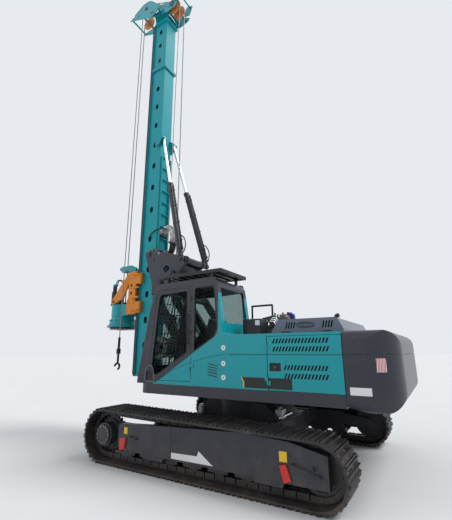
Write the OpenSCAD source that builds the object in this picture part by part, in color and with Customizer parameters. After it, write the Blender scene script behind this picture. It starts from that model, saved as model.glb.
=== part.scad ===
/* [Tracks] */
// Overall length of a track
track_len = 4580; // [4000:10:5200]
// Overall width over both tracks
gauge_w = 3950; // [3700:10:4200]
// Width of a track shoe
shoe_w = 600; // [500:10:700]
// Height of the track over the sprocket
track_h = 870; // [800:5:950]
// Height of the track over the idler
idler_h = 800; // [740:5:870]
// Target pitch of the shoes
shoe_pitch = 171; // [150:1:220]
// Height of a grouser bar
grouser_h = 26; // [15:1:40]
// Thickness of a shoe plate
plate_t = 24; // [15:1:40]
// Height of the link chain under the shoes
chain_h = 80; // [60:1:110]
// Width of the link chain
chain_w = 190; // [150:5:230]
// Radius of a bottom roller
roller_r = 84; // [70:1:100]
// Number of bottom rollers on a side
roller_n = 7; // [5:1:8]
// Height of the track frame's top edge
frame_top = 700; // [640:5:720]
// Travel of each track frame towards the middle
gauge_travel = 475; // [300:5:500]
// Side of a telescopic beam
beam_side = 250; // [200:5:280]
// Wall of the sleeve round a telescopic beam
sleeve_wall = 25; // [15:1:35]
// Clearance round a telescopic beam
sleeve_gap = 6; // [5:0.5:10]

/* [Upper machine] */
// Width of the upper machine
upper_w = 3094; // [2900:2:3200]
// Height of the underside of the skirt
skirt_z = 1103; // [1080:1:1150]
// Height of the deck
deck_z = 1267; // [1230:1:1320]
// Reach of the deck in front of the slew axis
deck_front = 1460; // [1400:5:1520]
// Reach of the tail behind the slew axis
tail_reach = 2900; // [2700:10:3100]
// Place of the seam in front of the counterweight
seam_x = -2220; // [-2350:5:-2100]
// Height of the side covers' top
cover_top = 2073; // [1950:1:2150]
// Thickness of doors and covers
panel_t = 40; // [25:1:50]
// Radius of the slewing ring
ring_r = 640; // [560:5:700]
// Height of the slewing ring's top
ring_top = 1030; // [1000:1:1060]

/* [Cab] */
// Width of the cab
cab_w = 1000; // [900:5:1100]
// Height of the cab roof above the ground
cab_roof = 3045; // [2950:5:3150]
// Thickness of the cab wall and door
cab_wall = 45; // [35:1:60]
// Thickness of the window glass
glass_t = 8; // [5:1:12]
// Rear edge of the door
door_rear = 270; // [200:5:350]

/* [Linkage] */
// Forward place of the arm's lower pin
arm_foot_x = 1230; // [1180:5:1280]
// Height of the arm's lower pin
arm_foot_z = 1700; // [1650:5:1750]
// Length of the arm between its pins
arm_len = 1618; // [1550:1:1680]
// Slope of the arm at rest, in degrees
arm_slope = 54.05; // [50:0.05:58]
// Distance of the link's pins behind the arm's pins
link_back = 400; // [360:5:440]
// Height of the link's pins above the arm's pins
link_rise = 560; // [520:5:600]
// Radius of the main linkage pins
pin_r = 45; // [35:1:55]
// Radial running clearance of a pin
pin_gap = 0.05; // [0.02:0.01:0.1]
// Thickness of the bracket and carrier side plates
side_t = 50; // [30:1:60]
// Half distance to the outer face of the side plates
side_y = 340; // [320:1:360]
// Thickness of an arm or link bar
bar_t = 80; // [60:1:90]
// Side clearance between moving plates
side_gap = 6; // [5:0.5:10]

/* [Mast] */
// Forward place of the mast's rear face
mast_x = 2457; // [2400:1:2500]
// Depth of the mast box
mast_d = 456; // [420:1:500]
// Width of the mast box
mast_w = 400; // [360:2:440]
// Wall of the mast box
mast_wall = 12; // [8:1:16]
// Height of the mast's foot
mast_foot = 1250; // [1200:5:1350]
// Height of the top flange of the mast
mast_top = 11650; // [11000:10:12000]
// Radius of the holes along the mast
mast_hole_r = 52; // [40:1:65]
// Width of a guide rail
rail_w = 100; // [80:1:120]
// Depth of a guide rail
rail_d = 62; // [50:1:75]
// Outer half distance over the guide rails
rail_y = 245; // [235:1:255]
// Forward place of the drilling axis
drill_x = 3680; // [3600:5:3760]
// Radius of the main rope
rope_r = 14; // [10:1:18]
// Radius of the auxiliary rope
aux_rope_r = 11; // [8:1:14]
// Radius from a head sheave's centre to the middle of its rope
sheave_r = 210; // [180:5:240]

/* [Power head] */
// Height of the power head's lower flange
flange_z = 2360; // [2300:5:2500]
// Radius of the lower flange
flange_r = 390; // [330:5:420]
// Radius of the drive bore
bore_r = 150; // [120:5:180]
// Stroke of the crowd cylinder downward
crowd_down = 1100; // [800:10:1150]
// Stroke of the crowd cylinder upward
crowd_up = 1700; // [1200:10:1800]

/* [Hidden] */

// Colours
teal = [0.10, 0.62, 0.66];
dark = [0.21, 0.22, 0.26];
black = [0.09, 0.09, 0.10];
hood_grey = [0.45, 0.48, 0.52];
orange = [0.90, 0.55, 0.08];
silver = [0.80, 0.81, 0.83];
steel = [0.45, 0.46, 0.48];
glass = [0.35, 0.42, 0.45, 0.45];

// Derived places
seat = 0.3;
upper_y = upper_w / 2;
pin_bore = pin_r + pin_gap;
sheave_x = drill_x - sheave_r;
front_reach = drill_x + flange_r;
x_mid = (front_reach - tail_reach) / 2;
track_y = gauge_w / 2 - shoe_w / 2;
drive_r = track_h / 2;
idle_r = idler_h / 2;
drive_x = track_len / 2 - drive_r;
idle_x = -track_len / 2 + idle_r;
shoe_in = grouser_h + plate_t;
chain_in = shoe_in + chain_h;
arm_tip_x = arm_foot_x + arm_len * cos(arm_slope);
arm_tip_z = arm_foot_z + arm_len * sin(arm_slope);
link_foot_x = arm_foot_x - link_back;
link_foot_z = arm_foot_z + link_rise;
link_tip_x = arm_tip_x - link_back;
link_tip_z = arm_tip_z + link_rise;
bar_in = side_y + side_gap;
bar_out = bar_in + bar_t;
mast_front = mast_x + mast_d;
rail_front = mast_front + rail_d;
mast_mid = mast_x + mast_d / 2;
pivot_x = mast_x + 93;
pivot_z = arm_tip_z + 1140;

// Moves the machine so that its plan box is centred on the origin
module rig() {
    translate([-x_mid, 0, 0]) children();
}

// A block between two corners
module block(a, b) {
    translate([min(a[0], b[0]), min(a[1], b[1]), min(a[2], b[2])])
        cube([abs(b[0] - a[0]), abs(b[1] - a[1]), abs(b[2] - a[2])]);
}

// A side outline in X and Z, extruded from y0 to y1
module slab(points, y0, y1) {
    translate([0, max(y0, y1), 0]) rotate([90, 0, 0]) linear_extrude(abs(y1 - y0)) polygon(points);
}

// A round bar along Y from y0 to y1 at x, z
module bar(r, x, z, y0, y1, fn = 48) {
    translate([x, max(y0, y1), z]) rotate([90, 0, 0]) cylinder(r = r, h = abs(y1 - y0), $fn = fn);
}

// A round bar between two points
module strut(a, b, r, fn = 32) {
    d = b - a;
    l = norm(d);
    translate(a) rotate([0, acos(d[2] / l), atan2(d[1], d[0])]) cylinder(r = r, h = l, $fn = fn);
}

// Points of an arc in X and Z
function arc(x, z, r, a0, a1, n) =
    [for (i = [0:n]) let (a = a0 + (a1 - a0) * i / n) [x + r * cos(a), z + r * sin(a)]];

// A straight bar outline with round ends between two points in X and Z
function bar_outline(x0, z0, x1, z1, r0, r1, n = 8) =
    let (a = atan2(z1 - z0, x1 - x0))
    concat(arc(x0, z0, r0, a + 90, a + 270, n), arc(x1, z1, r1, a - 90, a + 90, n));

// Mirrors its children to both sides
module both() {
    children();
    mirror([0, 1, 0]) children();
}

// Track loop, measured along the inner face of the shoes
arc_front = drive_r - shoe_in;
arc_rear = idle_r - shoe_in;
run_low = drive_x - idle_x;
run_top = norm([run_low, track_h - idler_h]);
loop_len = run_low + run_top + PI * (arc_front + arc_rear);
shoe_n = round(loop_len / shoe_pitch);
pitch = loop_len / shoe_n;
run_fall = atan2(track_h - idler_h, run_low);

// Place and outward direction on the loop at a distance s from the idler's foot
function loop_at(s) =
    s < run_low ? [idle_x + s, shoe_in, -90] :
    s < run_low + PI * arc_front ?
        let (a = -90 + (s - run_low) / arc_front * 180 / PI)
        [drive_x + arc_front * cos(a), drive_r + arc_front * sin(a), a] :
    s < run_low + PI * arc_front + run_top ?
        let (t = (s - run_low - PI * arc_front) / run_top)
        [drive_x - t * run_low, track_h - shoe_in - t * (track_h - idler_h), 90 + run_fall] :
        let (a = 90 + (s - run_low - PI * arc_front - run_top) / arc_rear * 180 / PI)
        [idle_x + arc_rear * cos(a), idle_r + arc_rear * sin(a), a];

// A point at a height h outside the loop
function loop_point(s, h) = let (p = loop_at(s)) [p[0] + h * cos(p[2]), p[1] + h * sin(p[2])];

// Outline of one shoe: share of the pitch, height over the inner face
shoe_form = [[0.00, plate_t * 0.4], [0.05, shoe_in], [0.13, shoe_in], [0.20, plate_t], [0.43, plate_t],
    [0.48, shoe_in], [0.54, shoe_in], [0.60, plate_t], [0.84, plate_t], [0.89, shoe_in], [0.97, shoe_in]];

module track() {
    translate([0, track_y + shoe_w / 2, 0]) rotate([90, 0, 0]) linear_extrude(shoe_w) difference() {
        polygon([for (i = [0:shoe_n - 1], f = shoe_form) loop_point((i + f[0]) * pitch, f[1])]);
        polygon([for (i = [0:shoe_n - 1]) loop_point(i * pitch, 0)]);
    }
    translate([0, track_y + chain_w / 2, 0]) rotate([90, 0, 0]) linear_extrude(chain_w) difference() {
        polygon([for (i = [0:shoe_n - 1]) loop_point(i * pitch, plate_t / 3)]);
        polygon([for (i = [0:2 * shoe_n - 1]) loop_point(i * pitch / 2, -chain_h)]);
    }
}
module track_left() rig() color(black) track();
module track_right() rig() color(black) mirror([0, 1, 0]) track();

// Sprocket with its toothed ring on a round drive hub
tooth_n = 21;
tooth_tip = drive_r - chain_in - 6;
hub_r = 185;
panel_in = track_y + 125;
panel_out = gauge_w / 2 - 60;
beam_half = 150;
module sprocket() {
    tooth_root = tooth_tip - 34;
    tooth_step = 360 / tooth_n;
    translate([drive_x, track_y + 30, drive_r]) rotate([90, 0, 0]) linear_extrude(60)
        polygon([for (i = [0:tooth_n - 1], f = [[0, tooth_root], [0.30, tooth_tip], [0.48, tooth_tip], [0.78, tooth_root]])
            let (a = (i + f[0]) * tooth_step) [f[1] * cos(a), f[1] * sin(a)]]);
    bar(hub_r + 40, drive_x, drive_r, track_y + 30, track_y + 70);
    bar(hub_r, drive_x, drive_r, track_y + 70, panel_out - 30);
    bar(hub_r - 30, drive_x, drive_r, panel_out - 30, panel_out);
    for (i = [0:11])
        bar(11, drive_x + (hub_r + 20) * cos(i * 30), drive_r + (hub_r + 20) * sin(i * 30),
            track_y + 70, track_y + 84, 16);
}

// Idler wheel with a raised middle rim, turning on a stub between the yoke's arms
idler_rim = (idle_r - chain_in) * cos(45 * pitch / (PI * arc_rear)) - 2 * seat;
yoke_in = 96;
module idler() {
    difference() {
        union() {
            bar(idler_rim, idle_x, idle_r, track_y - 82, track_y + 82, 72);
            bar(70, idle_x, idle_r, track_y - yoke_in + seat, track_y + yoke_in - seat);
        }
        for (s = [-1, 1])
            translate([idle_x, track_y + s * 58 + (s > 0 ? 30 : -30), idle_r]) rotate([90, 0, 0])
                difference() {
                    cylinder(r = idler_rim - 45, h = 60, center = true, $fn = 72);
                    cylinder(r = 110, h = 62, center = true, $fn = 48);
                }
    }
}

// Bottom rollers and the two carrier rollers that hold up the top run
roller_z = chain_in + roller_r + seat;
roller_x0 = -1330;
roller_x1 = 1330;
shaft_r = 28;
carrier_r = 48;
carrier_x = [-780, 760];
function run_height(x) = idler_h + (track_h - idler_h) * (x - idle_x) / run_low;
function carrier_z(x) = run_height(x) - chain_in - carrier_r - 1;
module rollers() {
    for (i = [0:roller_n - 1]) {
        x = roller_x0 + (roller_x1 - roller_x0) * i / (roller_n - 1);
        bar(roller_r, x, roller_z, track_y - 112, track_y + 112);
        for (s = [-1, 1])
            bar(roller_r + 14, x, roller_z, track_y + s * 100, track_y + s * 116);
        bar(shaft_r, x, roller_z, track_y - 126, track_y + 126, 24);
    }
    for (x = carrier_x) {
        bar(carrier_r, x, carrier_z(x), track_y - 90, track_y + 90);
        bar(shaft_r - 6, x, carrier_z(x), track_y - 106, track_y + 106, 24);
    }
}
module running_gear() {
    sprocket();
    idler();
    rollers();
}
module running_gear_left() rig() color(dark) running_gear();
module running_gear_right() rig() color(dark) mirror([0, 1, 0]) running_gear();

// Track frame: box beam, roller plates, idler yoke, drive mount, outer housing and telescopic beams
beam_x = [-700, 700];
beam_z = 515;
beam_low = 330;
beam_high = 590;
beam_in_y = 620;
panel_seam = 335;
module track_frame() {
    panel = [[1470, 640], [1470, 310], [1100, 255], [370, 250], [-880, 250], [-2030, 250], [-2030, 616], [-1550, 722],
        [-890, min(755, run_height(-890) - shoe_in - 12)], [370, frame_top]];
    plate_low = roller_z - 40;
    block([roller_x0 - 70, track_y - beam_half, beam_low], [roller_x1 + 60, track_y + beam_half, beam_high]);
    for (s = [-1, 1])
        difference() {
            block([roller_x0 - 70, track_y + s * 126, plate_low], [roller_x1 + 60, track_y + s * beam_half, beam_low + 1]);
            for (i = [0:roller_n - 2])
                bar(60, roller_x0 + (roller_x1 - roller_x0) * (i + 0.5) / (roller_n - 1), plate_low,
                    track_y + s * 120, track_y + s * 160, 24);
        }
    difference() {
        slab(panel, panel_in, panel_out);
        block([panel_seam - 4, panel_out - 7, 200], [panel_seam + 4, panel_out + 1, 800]);
        block([1290, panel_out - 7, 200], [1298, panel_out + 1, 800]);
        bar(34, 1290, 560, panel_out - 20, panel_out + 1, 24);
        bar(34, -1880, 470, panel_out - 20, panel_out + 1, 24);
    }
    block([roller_x0 - 60, track_y + beam_half - 1, 380], [roller_x1, panel_in + 1, 590]);
    for (x = [700, -1250])
        slab([[x - 260, 330], [x + 260, 330], [x + 190, 190], [x - 190, 190]], panel_in + 20, panel_out - 8);
    for (s = [-1, 1])
        slab([[roller_x0 - 60, beam_low + 20], [idle_x - 60, idle_r - 75], [idle_x - 95, idle_r],
            [idle_x - 60, idle_r + 75], [roller_x0 - 60, beam_high - 30]],
            track_y + s * yoke_in, track_y + s * beam_half);
    slab([[roller_x1 + 50, beam_low + 10], [drive_x + 40, drive_r - 150], [drive_x + 120, drive_r],
        [drive_x + 40, drive_r + 150], [roller_x1 + 50, beam_high - 10]],
        track_y - beam_half, track_y - 60);
    bar(150, drive_x, drive_r, track_y - beam_half - 60, track_y - 30);
    for (x = carrier_x)
        for (s = [-1, 1])
            slab(bar_outline(x, beam_high - 20, x, carrier_z(x), 45, 40), track_y + s * 106, track_y + s * 126);
    for (x = beam_x)
        difference() {
            union() {
                block([x - beam_side / 2, beam_in_y, beam_z - beam_side / 2],
                    [x + beam_side / 2, track_y - beam_half + 1, beam_z + beam_side / 2]);
                block([x - 90, beam_in_y, beam_z - beam_side / 2 - sleeve_gap + seat],
                    [x + 90, beam_in_y + 120, beam_z + beam_side / 2 + sleeve_gap - seat]);
            }
            block([x - beam_side / 2 + 22, beam_in_y - 1, beam_z - beam_side / 2 + 22],
                [x + beam_side / 2 - 22, track_y - beam_half - 40, beam_z + beam_side / 2 - 22]);
        }
}
module track_frame_left() rig() color(dark) track_frame();
module track_frame_right() rig() color(dark) mirror([0, 1, 0]) track_frame();

// Middle body with the sleeves for the telescopic beams and the round pedestal under the slewing ring
sleeve_side = beam_side / 2 + sleeve_gap + sleeve_wall;
sleeve_end = gauge_w / 2 - shoe_w - gauge_travel - 20;
pedestal_top = ring_top - 45;
module car_body() rig() color(dark) {
    difference() {
        union() {
            for (x = beam_x)
                block([x - sleeve_side, -sleeve_end, beam_z - sleeve_side], [x + sleeve_side, sleeve_end, beam_z + sleeve_side]);
            for (x = beam_x)
                both() block([x - sleeve_side - 18, sleeve_end - 60, beam_z - sleeve_side - 18],
                    [x + sleeve_side + 18, sleeve_end, beam_z + sleeve_side + 18]);
            slab([[-870, 400], [870, 400], [870, 640], [560, pedestal_top - 60], [-560, pedestal_top - 60], [-870, 640]],
                -520, 520);
            translate([0, 0, 560]) cylinder(r = ring_r - 40, h = pedestal_top - 560, $fn = 72);
            translate([0, 0, pedestal_top - 40]) cylinder(r = ring_r + 25, h = 40, $fn = 72);
        }
        for (x = beam_x)
            block([x - beam_side / 2 - sleeve_gap, -sleeve_end - 1, beam_z - beam_side / 2 - sleeve_gap],
                [x + beam_side / 2 + sleeve_gap, sleeve_end + 1, beam_z + beam_side / 2 + sleeve_gap]);
        translate([0, 0, 380]) cylinder(r = 300, h = 700, $fn = 48);
    }
}
module slew_ring() rig() color(steel) translate([0, 0, pedestal_top])
    rotate_extrude($fn = 96) polygon([[ring_r - 130, 0], [ring_r, 0], [ring_r, 18], [ring_r - 12, 22], [ring_r, 26],
        [ring_r, ring_top - pedestal_top], [ring_r - 130, ring_top - pedestal_top]]);

// Upper frame: skirted deck, main beams and the brackets that carry the linkage
side_in = side_y - side_t;
barrel_foot_x = 560;
barrel_foot_z = 1480;
barrel_pin_r = 42;
lift_y = 175;
frame_under = ring_top + seat;
module deck_plan(inset, corner) {
    hull() for (s = [-1, 1]) {
        translate([deck_front - inset - corner, s * (upper_y - inset - corner)]) circle(r = corner, $fn = 32);
        translate([seam_x + 10 + inset, s * (upper_y - inset - 10)]) circle(r = 10, $fn = 12);
    }
}
module upper_frame() rig() color(dark) {
    union() {
        difference() {
            translate([0, 0, skirt_z]) linear_extrude(deck_z - skirt_z) deck_plan(0, 220);
            translate([0, 0, skirt_z - 1]) linear_extrude(deck_z - skirt_z - 34) deck_plan(55, 180);
        }
        both() block([-2160, side_in, skirt_z - 40], [1380, side_y, deck_z]);
        translate([0, 0, frame_under]) cylinder(r = ring_r + 30, h = 74, $fn = 72);
        block([300, -side_in - 1, deck_z - 5], [330, side_in + 1, 1420]);
    }
    both() difference() {
        slab(concat([[1395, deck_z + seat], [1395, deck_z + 120]], arc(arm_foot_x, arm_foot_z, 95, 0, 110, 8),
            arc(link_foot_x, link_foot_z, 85, 30, 165, 8),
            [[420, 1560], [400, deck_z + seat]]), side_in, side_y);
        for (p = [[arm_foot_x, arm_foot_z], [link_foot_x, link_foot_z]])
            bar(pin_bore, p[0], p[1], side_in - 1, side_y + 1);
        bar(110, 900, 1760, side_in - 1, side_y + 1);
    }
    bar(barrel_pin_r, barrel_foot_x, barrel_foot_z, -side_in + seat, side_in - seat);
}

// Luffing arm and parallel link: side bars with their pins and cross tubes
rod_share = 0.62;
brace_share = 0.13;
lift_x = arm_foot_x + rod_share * arm_len * cos(arm_slope);
lift_z = arm_foot_z + rod_share * arm_len * sin(arm_slope);
lift_tube_r = 60;
eye_gap = 14;
module linkage_bars(x0, z0, x1, z1, r0, r1) {
    both() {
        slab(bar_outline(x0, z0, x1, z1, r0, r1), bar_in, bar_out);
        for (p = [[x0, z0], [x1, z1]]) {
            bar(pin_r, p[0], p[1], side_in + 2, bar_out + 14);
            bar(pin_r + 16, p[0], p[1], bar_out - 1, bar_out + 14, 32);
        }
    }
}
module luffing_arm() rig() color(dark) {
    linkage_bars(arm_foot_x, arm_foot_z, arm_tip_x, arm_tip_z, 110, 98);
    both() bar(lift_tube_r, lift_x, lift_z, lift_y - 62, bar_in + 1);
    both() bar(lift_tube_r + 34, lift_x, lift_z, lift_y - 62, lift_y - 50);
    bar(52, arm_foot_x + brace_share * (arm_tip_x - arm_foot_x), arm_foot_z + brace_share * (arm_tip_z - arm_foot_z),
        -bar_in - 1, bar_in + 1);
}
module parallel_link() rig() color(dark) {
    linkage_bars(link_foot_x, link_foot_z, link_tip_x, link_tip_z, 80, 80);
    bar(50, (link_foot_x + link_tip_x) / 2, (link_foot_z + link_tip_z) / 2, -bar_in - 1, bar_in + 1);
}

// A hollow cylinder barrel from its foot towards its rod's end
module barrel(a, b, len, r_out, r_in, r_rod) {
    d = b - a;
    l = norm(d);
    translate(a) rotate([0, acos(d[2] / l), atan2(d[1], d[0])]) rotate_extrude($fn = 48)
        polygon([[0, r_out * 0.8], [r_out, r_out * 0.8], [r_out, len - 60], [r_out + 9, len - 60], [r_out + 9, len],
            [r_rod + pin_gap, len], [r_rod + pin_gap, len - 45], [r_in, len - 45], [r_in, r_out * 0.8 + 40],
            [0, r_out * 0.8 + 40]]);
}

// A rod with its piston, from a distance s along the cylinder to its eye
module rod(a, b, s, eye_r, r_in, r_rod) {
    d = b - a;
    l = norm(d);
    translate(a) rotate([0, acos(d[2] / l), atan2(d[1], d[0])]) rotate_extrude($fn = 48)
        polygon([[0, s], [r_in - pin_gap, s], [r_in - pin_gap, s + 60], [r_rod, s + 60], [r_rod, l - eye_r * 0.85],
            [0, l - eye_r * 0.85]]);
}
module eye(x, z, r_out, r_bore, y0, y1) {
    translate([x, max(y0, y1), z]) rotate([90, 0, 0]) difference() {
        cylinder(r = r_out, h = abs(y1 - y0), $fn = 48);
        translate([0, 0, -1]) cylinder(r = r_bore, h = abs(y1 - y0) + 2, $fn = 48);
    }
}
lift_in = 58;
lift_out = 76;
lift_rod = 42;
lift_len = 1000;
function lift_a(s) = [barrel_foot_x, s * lift_y, barrel_foot_z];
function lift_b(s) = [lift_x, s * lift_y, lift_z];
module luffing_barrels() rig() color(dark) for (s = [-1, 1]) {
    barrel(lift_a(s), lift_b(s), lift_len, lift_out, lift_in, lift_rod);
    eye(barrel_foot_x, barrel_foot_z, 78, barrel_pin_r + pin_gap, s * lift_y - 45, s * lift_y + 45);
}
module luffing_rods() rig() color(silver) for (s = [-1, 1]) {
    rod(lift_a(s), lift_b(s), 560, lift_tube_r + eye_gap + 30, lift_in, lift_rod);
    eye(lift_x, lift_z, lift_tube_r + eye_gap + 30, lift_tube_r + eye_gap, s * lift_y - 40, s * lift_y + 40);
}

// Mast carrier: two side plates with the rear crossbeam that carries the mast cylinders
cross_x = 1400;
cross_z = 3850;
cross_r = 70;
tilt_foot_y = 500;
tilt_pin_r = 38;
module mast_carrier() rig() color(dark) {
    difference() {
        union() {
            both() slab(concat(arc(pivot_x, pivot_z, 108, -25, 110, 6), arc(cross_x, cross_z, 95, 80, 215, 6),
                arc(link_tip_x, link_tip_z, 88, 185, 235, 3), arc(arm_tip_x, arm_tip_z, 100, 200, 350, 6)),
                side_in, side_y);
            bar(cross_r, cross_x, cross_z, -tilt_foot_y + 90, tilt_foot_y - 90);
            slab([[1500, 3740], [1530, 3770], [1880, 3450], [1850, 3420]], -side_in - 1, side_in + 1);
            slab([[1560, 3985], [1560, 3955], [1860, 4025], [1860, 4055]], -side_in - 1, side_in + 1);
        }
        both() {
            for (p = [[pivot_x, pivot_z], [arm_tip_x, arm_tip_z], [link_tip_x, link_tip_z]])
                bar(pin_bore, p[0], p[1], side_in - 1, side_y + 1);
            bar(100, 1960, 3700, side_in - 1, side_y + 1);
            bar(28, 2350, 3985, side_in - 1, side_y + 1, 24);
        }
    }
    both() bar(tilt_pin_r, cross_x, cross_z, tilt_foot_y - 91, tilt_foot_y + 55);
    both() bar(tilt_pin_r + 14, cross_x, cross_z, tilt_foot_y + 42, tilt_foot_y + 55);
}

// Mast cylinders, leaning inwards from the crossbeam to the back of the mast
tilt_end_x = mast_x - 92;
tilt_end_y = 205;
tilt_end_z = 7450;
tilt_out = 68;
tilt_in = 52;
tilt_rod = 36;
tilt_len = 2150;
tilt_eye_r = 62;
tilt_pin_top = 24;
tilt_side = 68;
function tilt_a(s) = [cross_x, s * tilt_foot_y, cross_z];
function tilt_b(s) = [tilt_end_x, s * tilt_end_y, tilt_end_z];
module mast_barrel(s) {
    barrel(tilt_a(s), tilt_b(s), tilt_len, tilt_out, tilt_in, tilt_rod);
    eye(cross_x, cross_z, 66, tilt_pin_r + pin_gap, s * (tilt_foot_y - 38), s * (tilt_foot_y + 38));
}
module mast_rod(s) {
    rod(tilt_a(s), tilt_b(s), 1650, tilt_eye_r, tilt_in, tilt_rod);
    eye(tilt_end_x, tilt_end_z, tilt_eye_r, tilt_pin_top + eye_gap, s * (tilt_end_y - 28), s * (tilt_end_y + 28));
}
module mast_barrel_left() rig() color(dark) mast_barrel(1);
module mast_barrel_right() rig() color(dark) mast_barrel(-1);
module mast_rod_left() rig() color(silver) mast_rod(1);
module mast_rod_right() rig() color(silver) mast_rod(-1);

// Mast: hollow box with side holes, guide rails, flanges, pivot ears and cylinder brackets
mast_y = mast_w / 2;
hole_z = [1950, 2550, 3180, 3812, 4616, 5423, 6072, 6717, 7366, 7995, 8616, 9226, 10233, 10781, 11300];
collar_z = [9920];
rib_d = 62;
rib_low = 4280;
rib_high = 6960;
rib_n = 9;
rib_step = (rib_high - rib_low - 20) / (rib_n - 1);
module mast() rig() color(teal) {
    difference() {
        union() {
            block([mast_x, -mast_y, mast_foot], [mast_front, mast_y, mast_top]);
            for (z = collar_z)
                block([mast_x - 45, -mast_y - 45, z - 42], [mast_front, mast_y + 45, z + 42]);
            block([mast_x - 50, -mast_y - 50, mast_top - 40], [mast_front + 20, mast_y + 50, mast_top]);
            block([mast_x - 20, -mast_y - 20, mast_foot], [mast_front + rail_d, mast_y + 20, mast_foot + 40]);
        }
        block([mast_x + mast_wall, -mast_y + mast_wall, mast_foot + 30],
            [mast_front - mast_wall, mast_y - mast_wall, mast_top - 30]);
        for (z = hole_z) for (d = [-30, 30])
            bar(mast_hole_r, mast_mid, z + d, -mast_y - 60, mast_y + 60, 32);
        for (z = hole_z)
            block([mast_mid - mast_hole_r, -mast_y - 60, z - 30], [mast_mid + mast_hole_r, mast_y + 60, z + 30]);
    }
    both() block([mast_x - rib_d, mast_y - 50, rib_low], [mast_x + 1, mast_y - 26, rib_high]);
    for (i = [0:rib_n - 1])
        block([mast_x - rib_d + 12, -mast_y + 30, rib_low + i * rib_step], [mast_x + 1, mast_y - 30, rib_low + i * rib_step + 20]);
    both() {
        block([mast_front - 1, rail_y - rail_w, mast_foot + 39], [rail_front, rail_y, mast_top - 60]);
        bar(105, pivot_x, pivot_z, mast_y - 1, side_in - side_gap);
        bar(pin_r, pivot_x, pivot_z, mast_y - 1, side_y + 16);
        bar(pin_r + 18, pivot_x, pivot_z, side_y + side_gap, side_y + 18);
        for (y = [tilt_end_y - 72, tilt_end_y + tilt_side])
            slab([[mast_x + 120, tilt_end_z + 150], [mast_x - 1, tilt_end_z + 130], [tilt_end_x - 50, tilt_end_z + 30],
                [tilt_end_x - 50, tilt_end_z - 35], [tilt_end_x + 10, tilt_end_z - 50], [mast_x - 1, tilt_end_z - 190],
                [mast_x + 120, tilt_end_z - 220]], y, y + 28);
        block([mast_x + 20, mast_y - 1, tilt_end_z - 160], [mast_x + 110, tilt_end_y + tilt_side + 1, tilt_end_z + 110]);
        bar(tilt_pin_top, tilt_end_x, tilt_end_z, tilt_end_y - 72, tilt_end_y + tilt_side + 30, 32);
    }
}

// Mast head: boat shaped side plates on a pedestal, with the fixed sheave shafts
plate_y = 300;
plate_t2 = 20;
front_z = mast_top + 710;
rear_x = mast_x - 257;
rear_z = mast_top + 350;
aux_x = 3150;
aux_z = front_z - 70;
aux_front_y = plate_y + plate_t2 + 40;
aux_rear_y = 180;
main_y = -40;
sheave_w = 52;
shaft_head = 38;
module head_plate(y0, y1) {
    difference() {
        slab([[3990, front_z + 40], [3900, front_z + 95], [3480, front_z + 120], [3300, front_z + 92], [2250, rear_z + 118],
            [1990, rear_z - 60], [2060, rear_z - 150], [2380, rear_z - 215], [2940, rear_z - 30], [3660, front_z - 90]],
            y0, y1);
        for (d = [-60, 60])
            bar(62, 2740 + d, rear_z + 62 + d * 0.27, y0 - 1, y1 + 1, 32);
        for (p = [[3180, front_z - 70], [3300, front_z - 40], [2520, rear_z - 20]])
            bar(18, p[0], p[1], y0 - 1, y1 + 1, 16);
    }
}
module mast_head() rig() color(teal) {
    both() head_plate(plate_y, plate_y + plate_t2);
    difference() {
        block([mast_x - 40, -mast_y - 40, mast_top + seat], [mast_front, mast_y + 40, mast_top + 50]);
        block([mast_x + 60, -120, mast_top - 1], [mast_front - 60, 120, mast_top + 51]);
    }
    for (s = [-1, 1])
        slab([[mast_x, mast_top + 49], [mast_front, mast_top + 49], [mast_front + 60, rear_z + 60], [mast_x - 40, rear_z - 60]],
            s * (mast_y - 30), s * (mast_y - 5));
    slab([[mast_x - 20, rear_z - 150], [mast_front - 40, rear_z - 20], [mast_front - 40, rear_z + 10], [mast_x - 20, rear_z - 120]],
        -plate_y - 1, plate_y + 1);
    bar(40, 2480, rear_z + 60, -plate_y - 1, plate_y + 1, 32);
    bar(40, 3000, rear_z + 150, -plate_y - 1, plate_y + 1, 32);
    bar(30, 3880, front_z + 20, -plate_y - 1, plate_y + 1, 32);
    bar(shaft_head, sheave_x, front_z, -plate_y - plate_t2 - 8, plate_y + plate_t2 + 8);
    bar(shaft_head, rear_x, rear_z, -plate_y - 30, plate_y + 1);
    bar(shaft_head, aux_x, aux_z, plate_y - 30, aux_front_y + 60);
    bar(shaft_head + 20, aux_x, aux_z, aux_front_y + 45, aux_front_y + 60);
    for (s = [-1, 1])
        slab([[1990, rear_z + 30], [1880, rear_z + 330], [2010, rear_z + 420], [2110, rear_z + 400], [2250, rear_z + 110]],
            s * (plate_y - 18), s * plate_y);
    bar(22, 1990, rear_z + 350, -plate_y, plate_y, 24);
}

// A rope sheave with a round groove
module sheave(x, z, y, r, hub_half) {
    translate([x, y, z]) rotate([90, 0, 0]) difference() {
        union() {
            rotate_extrude($fn = 72) polygon([[shaft_head + pin_gap, -sheave_w / 2], [r + 14, -sheave_w / 2], [r + 14, -sheave_w / 2 + 4],
                [r - seat, -8], [r - seat, 8], [r + 14, sheave_w / 2 - 4], [r + 14, sheave_w / 2], [shaft_head + pin_gap, sheave_w / 2]]);
            rotate_extrude($fn = 48) polygon([[shaft_head + pin_gap, -hub_half], [66, -hub_half], [66, hub_half], [shaft_head + pin_gap, hub_half]]);
        }
        for (i = [0:5]) rotate([0, 0, i * 60]) translate([r * 0.6, 0, -30]) cylinder(r = r * 0.17, h = 60, $fn = 24);
    }
}
module main_sheave_front() rig() color(orange) sheave(sheave_x, front_z, main_y, sheave_r - rope_r, 80);
module aux_sheave_front() rig() color(orange) sheave(aux_x, aux_z, aux_front_y, sheave_r - aux_rope_r, 38);
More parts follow.
